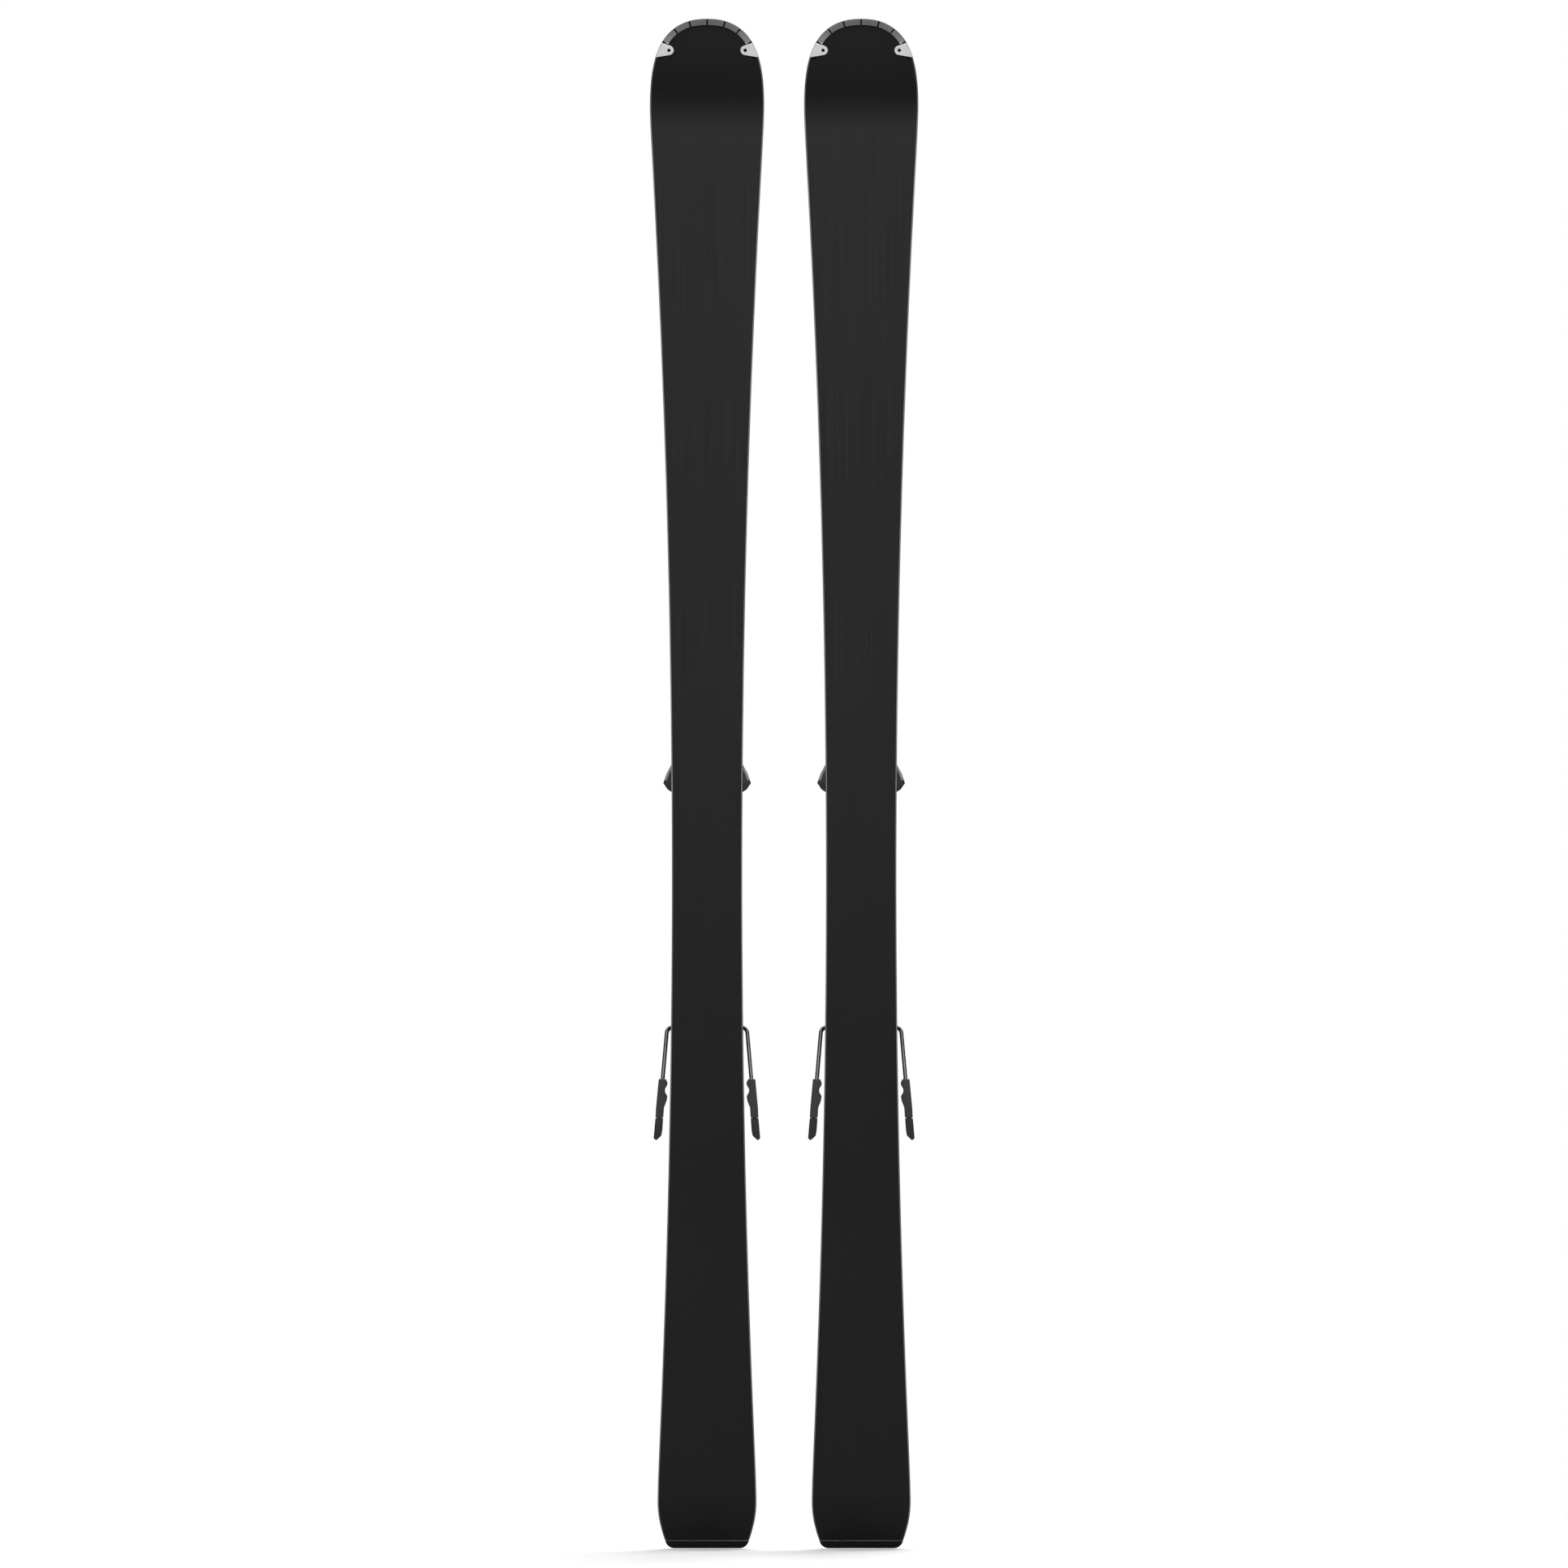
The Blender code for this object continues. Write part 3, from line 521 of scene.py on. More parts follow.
def brushed_metal(name, colour, roughness, stretch):
    """Metal with fine lines that run the way stretch is smallest, and slightly darker patches."""
    look = Look(name, roughness, metallic=1.0)
    lines = look.noise(look.stretched(*stretch), 1.0, 4.0)
    cloud = look.noise(look.place, 60.0, 3.0)
    dark = tuple(0.8 * c for c in colour)
    tone = look.ramp(lines, (0.3, dark), (0.7, colour))
    look.colour(look.mix(look.ramp(cloud, (0.35, 0.0), (0.75, 0.35)), tone, dark))
    look.rough(look.ramp(lines, (0.25, roughness - 0.08), (0.75, roughness + 0.12)))
    look.bump(lines, 0.15, 0.00008)
    return look.mat


def running_base():
    """Black sintered base: fine stone-ground lines along the ski, with faint wax haze and scuffs."""
    look = Look("running_base", 0.34, specular=0.15)
    lines = look.noise(look.stretched(1900.0, 40.0, 5.0), 1.0, 3.0)
    haze = look.noise(look.stretched(14.0, 14.0, 3.0), 1.0, 4.0)
    scuffs = look.noise(look.stretched(500.0, 500.0, 9.0), 1.0, 2.0)
    tone = look.ramp(haze, (0.3, 0.0025), (0.7, 0.004))
    tone = look.mix(look.ramp(lines, (0.35, 0.0), (0.75, 0.45)), tone, 0.006)
    tone = look.mix(look.ramp(scuffs, (0.72, 0.0), (0.8, 0.35)), tone, 0.02)
    look.colour(tone)
    look.rough(look.ramp(lines, (0.3, 0.3), (0.7, 0.44)))
    look.bump(lines, 0.2, 0.00006)
    return look.mat


def topsheet_print():
    """Satin graphite laminate with lighter chevron bands and stripes towards the tip and tail."""
    look = Look("topsheet_print", 0.32, coat=0.35)
    inward = look.math("SUBTRACT", HALF_SPACING, look.across())
    slope = look.math("SUBTRACT", look.axis("Z"), look.math("MULTIPLY", inward, 1.6))
    weave = look.noise(look.stretched(1500.0, 1500.0, 700.0), 1.0, 2.0)
    cloud = look.noise(look.stretched(16.0, 16.0, 4.0), 1.0, 4.0)
    tone = look.ramp(cloud, (0.3, (0.012, 0.013, 0.015)), (0.7, (0.022, 0.023, 0.026)))
    grey, light, pale = (0.075, 0.078, 0.085), (0.14, 0.145, 0.155), (0.5, 0.5, 0.5)
    for start, end, colour in (
        (0.40, 0.62, grey),
        (0.635, 0.65, pale),
        (0.66, 0.80, light),
        (-0.60, -0.47, grey),
        (-0.455, -0.443, pale),
    ):
        past_start = look.math("GREATER_THAN", slope, start)
        before_end = look.math("LESS_THAN", slope, end)
        tone = look.mix(look.math("MULTIPLY", past_start, before_end), tone, colour)
    tone = look.mix(look.ramp(weave, (0.35, 0.0), (0.75, 0.3)), tone, 0.03)
    look.colour(tone)
    look.rough(look.ramp(weave, (0.3, 0.26), (0.7, 0.4)))
    look.bump(weave, 0.12, 0.0001)
    return look.mat


def wire_steel():
    """Bright spring steel, with a painted highlight along the middle of the arms and painted shade along
    their inner sides.
    """
    look = Look("wire_steel", 0.22, metallic=0.6)
    lines = look.noise(look.stretched(700.0, 700.0, 60.0), 1.0, 4.0)
    plain = look.ramp(lines, (0.3, (0.5, 0.5, 0.51)), (0.7, (0.66, 0.66, 0.67)))
    across = look.across()
    slant = (ARM_END.x - ARM_ROOT.x) / (ARM_END.z - ARM_ROOT.z)
    height = look.math("SUBTRACT", look.axis("Z"), frame_z(ARM_ROOT.z))
    axis = look.math("ADD", look.math("MULTIPLY", height, slant), ARM_ROOT.x * MM)
    offset = look.math("DIVIDE", look.math("SUBTRACT", across, axis), 2.0 * WIRE_RADIUS * MM)
    inner_to_outer = look.math("ADD", offset, 0.5)
    # Painted highlight along the middle of each arm, and painted shade along its inner side
    painted_highlight_and_shade = look.ramp(
        inner_to_outer,
        (0.0, 0.01), (0.36, 0.012), (0.43, 0.6), (0.62, 0.7), (0.7, 0.1), (0.92, 0.05), (1.0, 0.15),
    )
    on_arm = look.math("GREATER_THAN", across, ARM_INSIDE * MM)
    look.colour(look.mix(on_arm, plain, look.mix(0.9, plain, painted_highlight_and_shade, "MULTIPLY")))
    look.rough(look.ramp(lines, (0.25, 0.16), (0.75, 0.32)))
    look.bump(lines, 0.15, 0.00008)
    return look.mat


def guard_metal():
    """Satin metal, with a painted highlight that makes the guard's tabs bright and painted shade that
    darkens it round the tip.
    """
    look = Look("guard_metal", 0.42, metallic=0.15)
    lines = look.noise(look.stretched(900.0, 900.0, 900.0), 1.0, 5.0)
    height = look.node("ShaderNodeMapRange", Value=look.axis("Z"))
    height.inputs["From Min"].default_value = frame_z(GUARD_PAINTED_LIGHT_FROM)
    height.inputs["From Max"].default_value = frame_z(LENGTH)
    # Painted light by height: a painted highlight on the tabs, then painted shade that darkens towards
    # the tip
    tone = look.ramp(
        height.outputs[0],
        (0.0, 0.97), (0.24, 0.93), (0.26, 0.33), (0.6, 0.19), (0.85, 0.13), (1.0, 0.085),
    )
    tone = look.mix(look.ramp(lines, (0.35, 0.0), (0.7, 0.35)), tone, look.mix(0.5, tone, 0.02))
    look.colour(tone)
    look.rough(look.ramp(lines, (0.3, 0.36), (0.7, 0.52)))
    look.bump(lines, 0.15, 0.0001)
    return look.mat


def wood_core():
    """Laminated wood: long grain, with a dark glue line between the strips."""
    look = Look("wood_core", 0.6)
    grain = look.noise(look.stretched(260.0, 260.0, 6.0), 1.0, 4.0)
    strips = look.math("PINGPONG", look.math("MULTIPLY", look.axis("X"), 110.0), 1.0)
    tone = look.ramp(grain, (0.3, (0.36, 0.22, 0.1)), (0.7, (0.6, 0.42, 0.22)))
    look.colour(look.mix(look.ramp(strips, (0.0, 0.4), (0.08, 0.0)), tone, (0.2, 0.12, 0.06)))
    look.bump(grain, 0.2, 0.0002)
    return look.mat


def pale_floor():
    """Matt off-white, faintly mottled, that glows a little so the white backdrop meets it evenly."""
    look = Look("pale_floor", 0.8)
    cloud = look.noise(look.place, 6.0, 3.0)
    look.colour(look.ramp(cloud, (0.3, 0.86), (0.7, 0.9)))
    look.bsdf.inputs["Emission Color"].default_value = (1.0, 1.0, 1.0, 1.0)
    look.bsdf.inputs["Emission Strength"].default_value = 0.15
    look.bump(look.noise(look.place, 400.0, 2.0), 0.03, 0.0005)
    return look.mat


MATERIALS = {
    "base": running_base(),
    "edge": brushed_metal("steel_edge", (0.16, 0.16, 0.165), 0.4, (300.0, 300.0, 12.0)),
    "topsheet": topsheet_print(),
    "guard": guard_metal(),
    "guard_rim": brushed_metal("guard_rim", (0.1, 0.1, 0.105), 0.45, (500.0, 500.0, 500.0)),
    "tail_guard": brushed_metal("tail_guard_metal", (0.018, 0.018, 0.019), 0.5, (40.0, 40.0, 900.0)),
    "wood": wood_core(),
    "black": grained_plastic("black_plastic", (0.012, 0.012, 0.013), 0.42),
    "charcoal": grained_plastic("charcoal_plastic", (0.045, 0.046, 0.048), 0.45),
    "foot": grained_plastic("brake_foot_plastic", (0.026, 0.026, 0.0265), 0.5, 1800.0),
    # The feet's plastic made darker: painted shade on the feet's tips
    "foot_painted_shade": grained_plastic("brake_foot_tip_painted_shade", (0.006, 0.006, 0.006), 0.5, 1800.0),
    "light": grained_plastic("light_grey_plastic", (0.42, 0.42, 0.42), 0.45),
    # Painted highlight: the light grey of the wings' lit front slopes
    "painted_highlight_strip": grained_plastic("wing_trim_plastic", (0.42, 0.42, 0.41), 0.4),
    "wire": wire_steel(),
    "steel": brushed_metal("bright_steel", (0.66, 0.66, 0.67), 0.2, (700.0, 90.0, 90.0)),
    "screw": brushed_metal("screw_steel", (0.5, 0.5, 0.51), 0.3, (900.0, 900.0, 900.0)),
    "slider": grained_plastic("slider_plastic", (0.3, 0.3, 0.3), 0.35),
    "rivet": brushed_metal("rivet_recess", (0.004, 0.004, 0.004), 0.6, (900.0, 900.0, 900.0)),
}


# ---------------------------------------------------------------- pieces


def mesh_object(name, shape, ski_x):
    """A mesh in the frame's metres, with its faces pointing out."""
    points, faces = shape
    mesh = bpy.data.meshes.new(name)
    move = Vector((ski_x, 0.0, TAIL_Z))
    mesh.from_pydata([Vector(p) * MM + move for p in points], [], faces)
    bm = bmesh.new()
    bm.from_mesh(mesh)
    bmesh.ops.recalc_face_normals(bm, faces=bm.faces)
    bm.to_mesh(mesh)
    bm.free()
    obj = bpy.data.objects.new(name, mesh)
    bpy.context.scene.collection.objects.link(obj)
    return obj


def bevelled(obj, width, segments):
    """Rounds the sharp edges of an object."""
    rounding = obj.modifiers.new("rounded edges", "BEVEL")
    rounding.width = width * MM
    rounding.segments = segments
    rounding.limit_method = "ANGLE"
    rounding.angle_limit = math.radians(32.0)
    rounding.use_clamp_overlap = True


CUT = "DIFFERENCE"
JOIN = "UNION"


class Ski:
    """Adds one ski's pieces; every name starts with the ski's own."""

    def __init__(self, name):
        self.name = name
        self.x = centreline(name)

    def piece(
        self, name, shape, look, slot, body="",
        bevel=0.0, segments=3, cuts=(), fine=0.0, replaces=(),
    ):
        """A finished piece: edges rounded, then joined or cut, then a fine second rounding."""
        obj = mesh_object(f"{self.name}_{name}", shape, self.x)
        if bevel:
            bevelled(obj, bevel, segments)
        helpers = []
        for operation, other in cuts:
            helper = mesh_object("helper", other, self.x)
            helpers.append(helper)
            boolean = obj.modifiers.new("boolean", "BOOLEAN")
            boolean.operation = operation
            boolean.solver = "EXACT"
            boolean.object = helper
        if fine:
            bevelled(obj, fine, 2)
        bpy.context.view_layer.update()
        graph = bpy.context.evaluated_depsgraph_get()
        finished = bpy.data.meshes.new_from_object(obj.evaluated_get(graph))
        obj.modifiers.clear()
        obj.data = finished
        for helper in helpers:
            bpy.data.objects.remove(helper, do_unlink=True)
        for polygon in finished.polygons:
            polygon.use_smooth = True
        finished.set_sharp_from_angle(angle=math.radians(34.0))
        finished.materials.clear()
        finished.materials.append(MATERIALS[look])
        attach(obj, self.name + body)
        if replaces:
            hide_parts(*[f"{self.name}_{node}" for node in replaces])
        return obj

    def pressed(self, spring, joint, fixed_end, keep):
        """Gives a spring its own copy of its mesh."""
        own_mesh(spring)

    def dress(self, node, look):
        """Gives a CAD node that stays in view its material."""
        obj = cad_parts[f"{self.name}_{node}"]
        obj.data.materials.clear()
        obj.data.materials.append(MATERIALS[look])


def ski_body(ski):
    """The base, the steel edges and the cap, all lofted through the same stations."""
    base, cap, edge = [], [], []
    for z in STATIONS:
        half = half_width(z)
        low = base_y(z)
        high = low + thickness(z)
        reach = max(half - EDGE_SHOWN - BASE_GAP, BASE_LEAST)
        bottom = [(x, low, z) for x in spread(-reach, reach, 9)]
        base.append(bottom + [(reach, low + BASE_THICK, z), (-reach, low + BASE_THICK, z)])
        outside = (
            (0.15, low + EDGE_THICK + 0.15),
            (0.35, low + EDGE_THICK + 0.5),
            (1.5, high - 1.9),
            (2.1, high - 0.9),
            (2.9, high - 0.25),
            (3.9, high),
        )
        inside = ((4.3, high - 0.8), (2.7, high - 2.3), (1.1, low + EDGE_THICK + 0.15))
        right = [(half - inset, y, z) for inset, y in outside]
        under = [(half - inset, y, z) for inset, y in inside]
        left = [(-x, y, z) for x, y, z in reversed(right)]
        left_under = [(-x, y, z) for x, y, z in reversed(under)]
        cap.append(right + left + left_under + under)
        if z <= EDGE_END:
            edge.append(
                [
                    (half - EDGE_SHOWN, low, z),
                    (half - EDGE_BEVEL, low, z),
                    (half, low + EDGE_BEVEL, z),
                    (half, low + EDGE_THICK, z),
                    (half - EDGE_SHOWN, low + EDGE_THICK, z),
                ]
            )
    ski.piece("running_base", loft(base), "base", "base", replaces=["base"])
    ski.piece("cap", loft(cap), "topsheet", "topsheet", replaces=["topsheet"])
    ski.piece("steel_edge_right", loft(edge), "edge", "edge", replaces=["edge_right"])
    ski.piece("steel_edge_left", mirrored(loft(edge)), "edge", "edge", replaces=["edge_left"])
    ski.dress("core", "wood")


def tip_outline():
    """Evenly fine points round the tip, from the right tab to the left one, with inward normals."""
    start = math.asin((TAB_START - TIP_TURN) / TURN_REACH)
    heights = [TIP_TURN + TURN_REACH * math.sin(a) for a in spread(start, 0.5 * math.pi, 160)]
    right = [(half_width(z), z) for z in heights[:-1]] + [(0.0, LENGTH)]
    outline = [Vector(p) for p in right] + [Vector((-x, z)) for x, z in reversed(right[:-1])]
    normals = []
    for i in range(len(outline)):
        along = (outline[min(i + 1, len(outline) - 1)] - outline[max(i - 1, 0)]).normalized()
        normals.append(Vector((-along.y, along.x)))
    return outline, normals


def on_base(point, lift):
    """A point of the base's surface, lifted off it."""
    return (point.x, base_y(point.y) - lift, point.y)


def disc_rings(centre, steps, sides, place):
    """The rings of a rivet's head, from (radius, lift) steps and a function that places a point."""
    rings = []
    for radius, lift in steps:
        ring = arc(centre, radius, 0, 360, sides + 1)[:-1]
        rings.append([place(Vector(p), lift) for p in ring])
    return rings


def tip_guard(ski):
    """A slotted band round the tip with a tab at each end; sections are (inset, lift) points."""
    outline, normals = tip_outline()
    cuts = sorted((*SLOT_X, *(-x for x in SLOT_X[1:])), reverse=True)
    half_slot = 0.5 * SLOT_WIDE

    def strip(first, last, section):
        """A section swept along part of the outline, with close points skipped."""
        rings = []
        previous = None
        for i in range(first, last + 1):
            if previous is not None and i != last and (outline[i] - previous).length < RING_STEP:
                continue
            previous = outline[i]
            rings.append([on_base(outline[i] + normals[i] * inset, lift) for inset, lift in section])
        return loft(rings)

    def nearest(x, margin):
        """The first outline point at least margin past the cut at x."""
        on_tip = [i for i, point in enumerate(outline) if point.y > SLOTS_ABOVE]
        best = min(on_tip, key=lambda i: abs(outline[i].x - x))
        step = 1 if margin > 0 else -1
        i = best
        while (outline[i] - outline[best]).length < abs(margin):
            i += step
        return i

    band = [
        (RIM_WIDE, 0.3), (RIM_WIDE, 0.9), (RIM_WIDE + 0.3, 1.1),
        (GUARD_WIDE - 0.4, 1.1), (GUARD_WIDE, 0.8), (GUARD_WIDE, 0.3),
    ]
    segments = []
    for near, far in zip(cuts, cuts[1:]):
        segments.append(strip(nearest(near, half_slot), nearest(far, -half_slot), band))

    tab_end = nearest(cuts[0], -half_slot)
    tab = [outline[i] + normals[i] * TAB_INSET for i in range(0, tab_end + 1, 2)]
    tab += [Vector(p) for p in arc(TAB_CENTRE, TAB_RADIUS, 112.0, 257.0, 18)]
    centre = sum(tab, Vector((0.0, 0.0))) / len(tab)
    rings = []
    for lift, shrink in ((0.3, 1.0), (0.85, 1.0), (1.1, 0.965)):
        rings.append([on_base(centre + (p - centre) * shrink, lift) for p in tab])
    right_tab = loft(rings)
    segments += [right_tab, mirrored(right_tab)]
    ski.piece("tip_guard_band", together(*segments), "guard", "tip_guard", replaces=["tip_guard"])

    rim = [
        (0.0, -1.6), (-0.05, 0.5), (0.2, 1.0),
        (RIM_WIDE - 0.05, 1.0), (RIM_WIDE + 0.2, 0.35), (RIM_WIDE + 0.2, 0.12),
    ]
    ski.piece("tip_guard_rim", strip(0, len(outline) - 1, rim), "guard_rim", "tip_guard")

    slot_floor = [(RIM_WIDE, 0.05), (RIM_WIDE, 0.28), (GUARD_WIDE - 0.5, 0.28), (GUARD_WIDE - 0.5, 0.05)]
    # The dark strip seen through the slots is one piece with the two rivets
    dark = [strip(0, len(outline) - 1, slot_floor)]
    head = ((1.75, 0.9), (1.75, 1.22), (1.25, 1.3), (0.9, 1.12))
    for sign in (-1.0, 1.0):
        place = (sign * TAB_CENTRE[0], TAB_CENTRE[1])
        dark.append(loft(disc_rings(place, head, 28, on_base)))
    ski.piece("tip_guard_rivets", together(*dark), "rivet", "tip_guard")


def tail_guard(ski):
    """A cap over the tail's end, with two rivets on the binding side."""
    rings = []
    for z in (0.0, 0.15, 0.5, 1.0, 1.8, 2.8, 4.2, 6.0, CAP_TOP, CAP_TOP + 0.15):
        inset = max(0.0, CAP_CORNER - z) + max(0.0, z - CAP_TOP)
        half = half_width(z) - inset
        low = base_y(z) + 0.6 * inset
        high = base_y(z) + thickness(z) - 0.6 * inset
        rings.append(
            [
                (-half, low + CAP_CORNER, z),
                (-half + CAP_CORNER, low, z),
                (half - CAP_CORNER, low, z),
                (half, low + CAP_CORNER, z),
                (half, high - CAP_CORNER, z),
                (half - CAP_CORNER, high, z),
                (-half + CAP_CORNER, high, z),
                (-half, high - CAP_CORNER, z),
            ]
        )
    ski.piece("tail_cap", loft(rings), "tail_guard", "tail_guard", replaces=["tail_guard"])

    rivet_x, rivet_z = CAP_RIVET
    face = base_y(rivet_z) + thickness(rivet_z)

    def on_cap(point, lift):
        """A point of the cap's sloping face, lifted off it."""
        return (point.x, face + lift + 0.27 * (rivet_z - point.y), point.y)

    head = ((1.5, -0.4), (1.5, 0.15), (1.1, 0.35), (0.5, 0.42))
    rivets = [loft(disc_rings((x, rivet_z), head, 24, on_cap)) for x in (-rivet_x, rivet_x)]
    ski.piece("tail_cap_rivets", together(*rivets), "screw", "tail_guard")


def binding_plate(ski):
    """The plate under both binding pieces, with its rail, three pockets and screws."""
    rail = [
        (-20.0, 17.0), (20.0, 17.0), (20.0, 20.0), (24.0, 20.0),
        (24.0, RAIL_TOP), (-24.0, RAIL_TOP), (-24.0, 20.0), (-20.0, 20.0),
    ]
    cuts = [(JOIN, prism("Z", rail, PLATE_LOW + 6.0, PLATE_HIGH - 6.0))]
    for z in (572.0, 622.0, 672.0):
        cuts.append((CUT, slab((-11.0, 11.0), (z, z + 38.0), (20.6, 30.0), 5.0)))
    plate = slab((-PLATE_HALF, PLATE_HALF), (PLATE_LOW, PLATE_HIGH), (12.8, 18.0), 10.0, 10)
    ski.piece(
        "plate", plate, "black", "plastic",
        bevel=1.2, cuts=cuts, fine=0.25, replaces=["binding_plate"],
    )
    screws = []
    for x in (-PLATE_SCREW_X, PLATE_SCREW_X):
        for z in PLATE_SCREW_Z:
            screws.append(screw_head(x, 17.9, z, 2.9, 1.5))
    ski.piece("plate_screws", together(*screws), "screw", "steel")


def carrier(low, high, top):
    """A block that grips the rail's flanges from both sides."""
    right = [(20.4, 18.4), (30.0, 18.4), (30.0, top)]
    left = [(-x, y) for x, y in reversed(right)]
    under = [(-20.4, 19.7), (-24.4, 19.7), (-24.4, 22.6), (24.4, 22.6), (24.4, 19.7), (20.4, 19.7)]
    return prism("Z", right + left + under, low, high)


def both_sides(near, far):
    """The span from near to far out from the centreline, on the left and on the right."""
    return (-far, -near), (near, far)


def toe_base(ski):
    """The plinth that the toe piece stands on, and the plate that slides sideways on it."""
    cuts = [
        (JOIN, block((-28.5, 28.5), (27.0, 31.0), (792.0, 885.5))),
        (JOIN, block((-14.0, 14.0), (30.0, 56.0), (805.8, 808.3))),
    ]
    for x in (-22.0, 22.0):
        cuts.append((CUT, rod("Y", (x, 872.0), 3.4, 29.5, 40.0)))
    ski.piece(
        "toe_plinth", carrier(742.0, 886.0, 28.0), "black", "plastic",
        cuts=cuts, fine=0.5, replaces=["toe_base"],
    )
    grooves = [(CUT, block((x, x + 2.0), (35.3, 40.0), (754.0, 782.0))) for x in spread(-22.0, 20.0, 8)]
    ski.piece(
        "afd_slider", slab((-28.0, 28.0), (748.0, 788.0), (28.3, SOLE_Y), 6.0), "slider", "grey_plastic",
        "_afd", bevel=0.9, cuts=grooves, replaces=["afd_plate"],
    )


def toe_hood(ski):
    """The toe piece's housing, with its bores, side vents and setting window."""
    profile = [
        (795.0, 64.0), (842.5, 64.0), (842.5, 31.3), (884.0, 31.3), (884.0, 45.0),
        (878.0, 58.0), (866.0, 69.0), (848.0, 74.6), (825.0, 75.0), (800.0, 72.0), (795.0, 69.0),
    ]
    middle = (0.0, TOE_AXIS_Y)
    cuts = [
        (CUT, rod("Z", middle, 9.0, 846.0, 875.0)),
        (CUT, rod("Z", middle, 3.6, 838.0, 850.0)),
        (CUT, rod("Z", middle, 5.3, 870.0, 890.0)),
        (CUT, slab((-6.0, 6.0), (818.0, 842.0), (73.6, 90.0), 3.0)),
    ]
    for span in both_sides(26.2, 30.0):
        for z in (850.0, 857.0, 864.0):
            cuts.append((CUT, block(span, (36.0, 58.0), (z, z + 3.0))))
    ski.piece(
        "toe_hood", prism("X", profile, -HOOD_HALF, HOOD_HALF), "black", "plastic",
        bevel=3.2, segments=4, cuts=cuts, fine=0.3, replaces=["toe_housing"],
    )
    window = slab((-5.6, 5.6), (818.4, 841.6), (72.9, 74.3), 2.7)
    ski.piece("toe_window", window, "light", "grey_plastic", bevel=0.4)
    marks = scale_marks(4.0, 2.4, (74.2, 74.42), spread(821.5, 837.5, 9))
    ski.piece("toe_window_marks", marks, "black", "plastic")


def toe_wings(ski):
    """The two wings that hold the boot's toe, each with a light grey strip that is a painted highlight
    on its lit front slope.
    """
    wing = rounded(
        [
            (9.0, 821.0), (15.0, 820.0), (15.0, 797.0), (24.0, 788.0), (30.0, 787.5), (37.8, 791.0),
            (41.4, 793.3), (46.0, 800.1), (42.3, 810.0), (37.9, 818.6), (28.0, 836.0), (22.0, 837.0),
            (13.0, 834.0), (9.0, 827.0),
        ],
        0.8,
    )
    painted_highlight_strip = rounded(
        [(45.0, 803.2), (42.5, 810.1), (36.0, 822.0), (33.6, 820.6), (40.0, 809.0), (42.0, 802.9)],
        0.4,
    )
    cuts = [
        (CUT, rod("Y", WING_PIN, 3.3, 30.0, 70.0)),
        (CUT, rod("Y", (0.0, 768.5), 37.1, 30.0, 56.0, 120)),
        (CUT, prism("Y", [(36.0, 817.0), (43.0, 801.5), (41.0, 800.8), (34.0, 816.4)], 62.0, 70.0)),
    ]
    for side, turn in SIDES:
        body = "_wing_" + side
        ski.piece(
            "wing_" + side, turn(prism("Y", wing, 38.0, 63.0)), "black", "plastic", body, bevel=1.3,
            cuts=[(operation, turn(shape)) for operation, shape in cuts], replaces=["toe_wing_" + side],
        )
        # The strip's light grey is a painted highlight on the wing's lit front slope
        strip = turn(prism("Y", painted_highlight_strip, 37.4, 52.0))
        ski.piece("wing_trim_" + side, strip, "painted_highlight_strip", "grey_plastic", body, bevel=0.3)
        ski.dress("toe_pin_" + side, "steel")


def toe_piece(ski):
    toe_base(ski)
    toe_hood(ski)
    toe_wings(ski)
    low, high = TOE_SPRING
    spring = ski.piece(
        "toe_coil", coil(TOE_AXIS_Y, low, high, 6.2), "steel", "steel", replaces=["toe_spring"],
    )
    ski.pressed(spring, "_toe_wing_left_swing", low, 1.0 - TOE_PRESS / (high - low))
    for node in ("toe_piston", "toe_screw"):
        ski.dress(node, "steel")


def heel_track(ski):
    """The carriage that slides on the rail, with its hinge lugs, and the latch that holds it."""
    ear = [(458.0, 24.0), (490.0, 24.0)] + arc(HEEL_PIVOT, 9.0, 0, 180, 25)
    boss = [(539.2, 24.0), (550.2, 24.0)] + arc(BRAKE_PIVOT, 5.5, 0, 180, 19)
    lug = [(427.0, 24.0), (437.0, 24.0)] + arc(LATCH_PIVOT, 4.0, 0, 180, 15)
    cuts = []
    for sign in (-1.0, 1.0):
        for outline, near, far in ((ear, 18.0, 21.0), (boss, 25.4, 29.7), (lug, 15.6, 18.6)):
            low, high = sorted((sign * near, sign * far))
            cuts.append((JOIN, prism("X", outline, low, high)))
    cuts.append((CUT, rod("X", HEEL_PIVOT, 4.3, -23.0, 23.0)))
    cuts.append((CUT, rod("X", BRAKE_PIVOT, WIRE_RADIUS + GAP, -35.0, 35.0)))
    cuts.append((CUT, rod("X", LATCH_PIVOT, 1.8, -20.0, 20.0)))
    for z in (502.0, 514.0, 526.0):
        cuts.append((CUT, slab((-12.0, 12.0), (z, z + 7.0), (24.2, 30.0), 2.5)))
    ski.piece(
        "heel_carriage_track", carrier(424.0, 560.0, TRACK_TOP), "black", "plastic", "_heel_carriage",
        cuts=cuts, fine=0.4, replaces=["heel_track"],
    )

    blade = arc(LATCH_PIVOT, 2.5, -70, 70, 12)
    blade += [(429.0, 29.8), (411.0, 30.3), (408.6, 29.2), (408.6, 27.2), (411.0, 26.4), (429.0, 26.4)]
    cuts = [(JOIN, rod("X", LATCH_PIVOT, 1.5, -18.4, 18.4))]
    for z in (412.5, 415.0, 417.5, 420.0):
        cuts.append((CUT, block((-9.0, 9.0), (29.7, 35.0), (z, z + 1.0))))
    ski.piece(
        "track_latch", prism("X", blade, -15.2, 15.2), "charcoal", "grey_plastic", "_latch",
        bevel=0.4, cuts=cuts, replaces=["heel_latch"],
    )


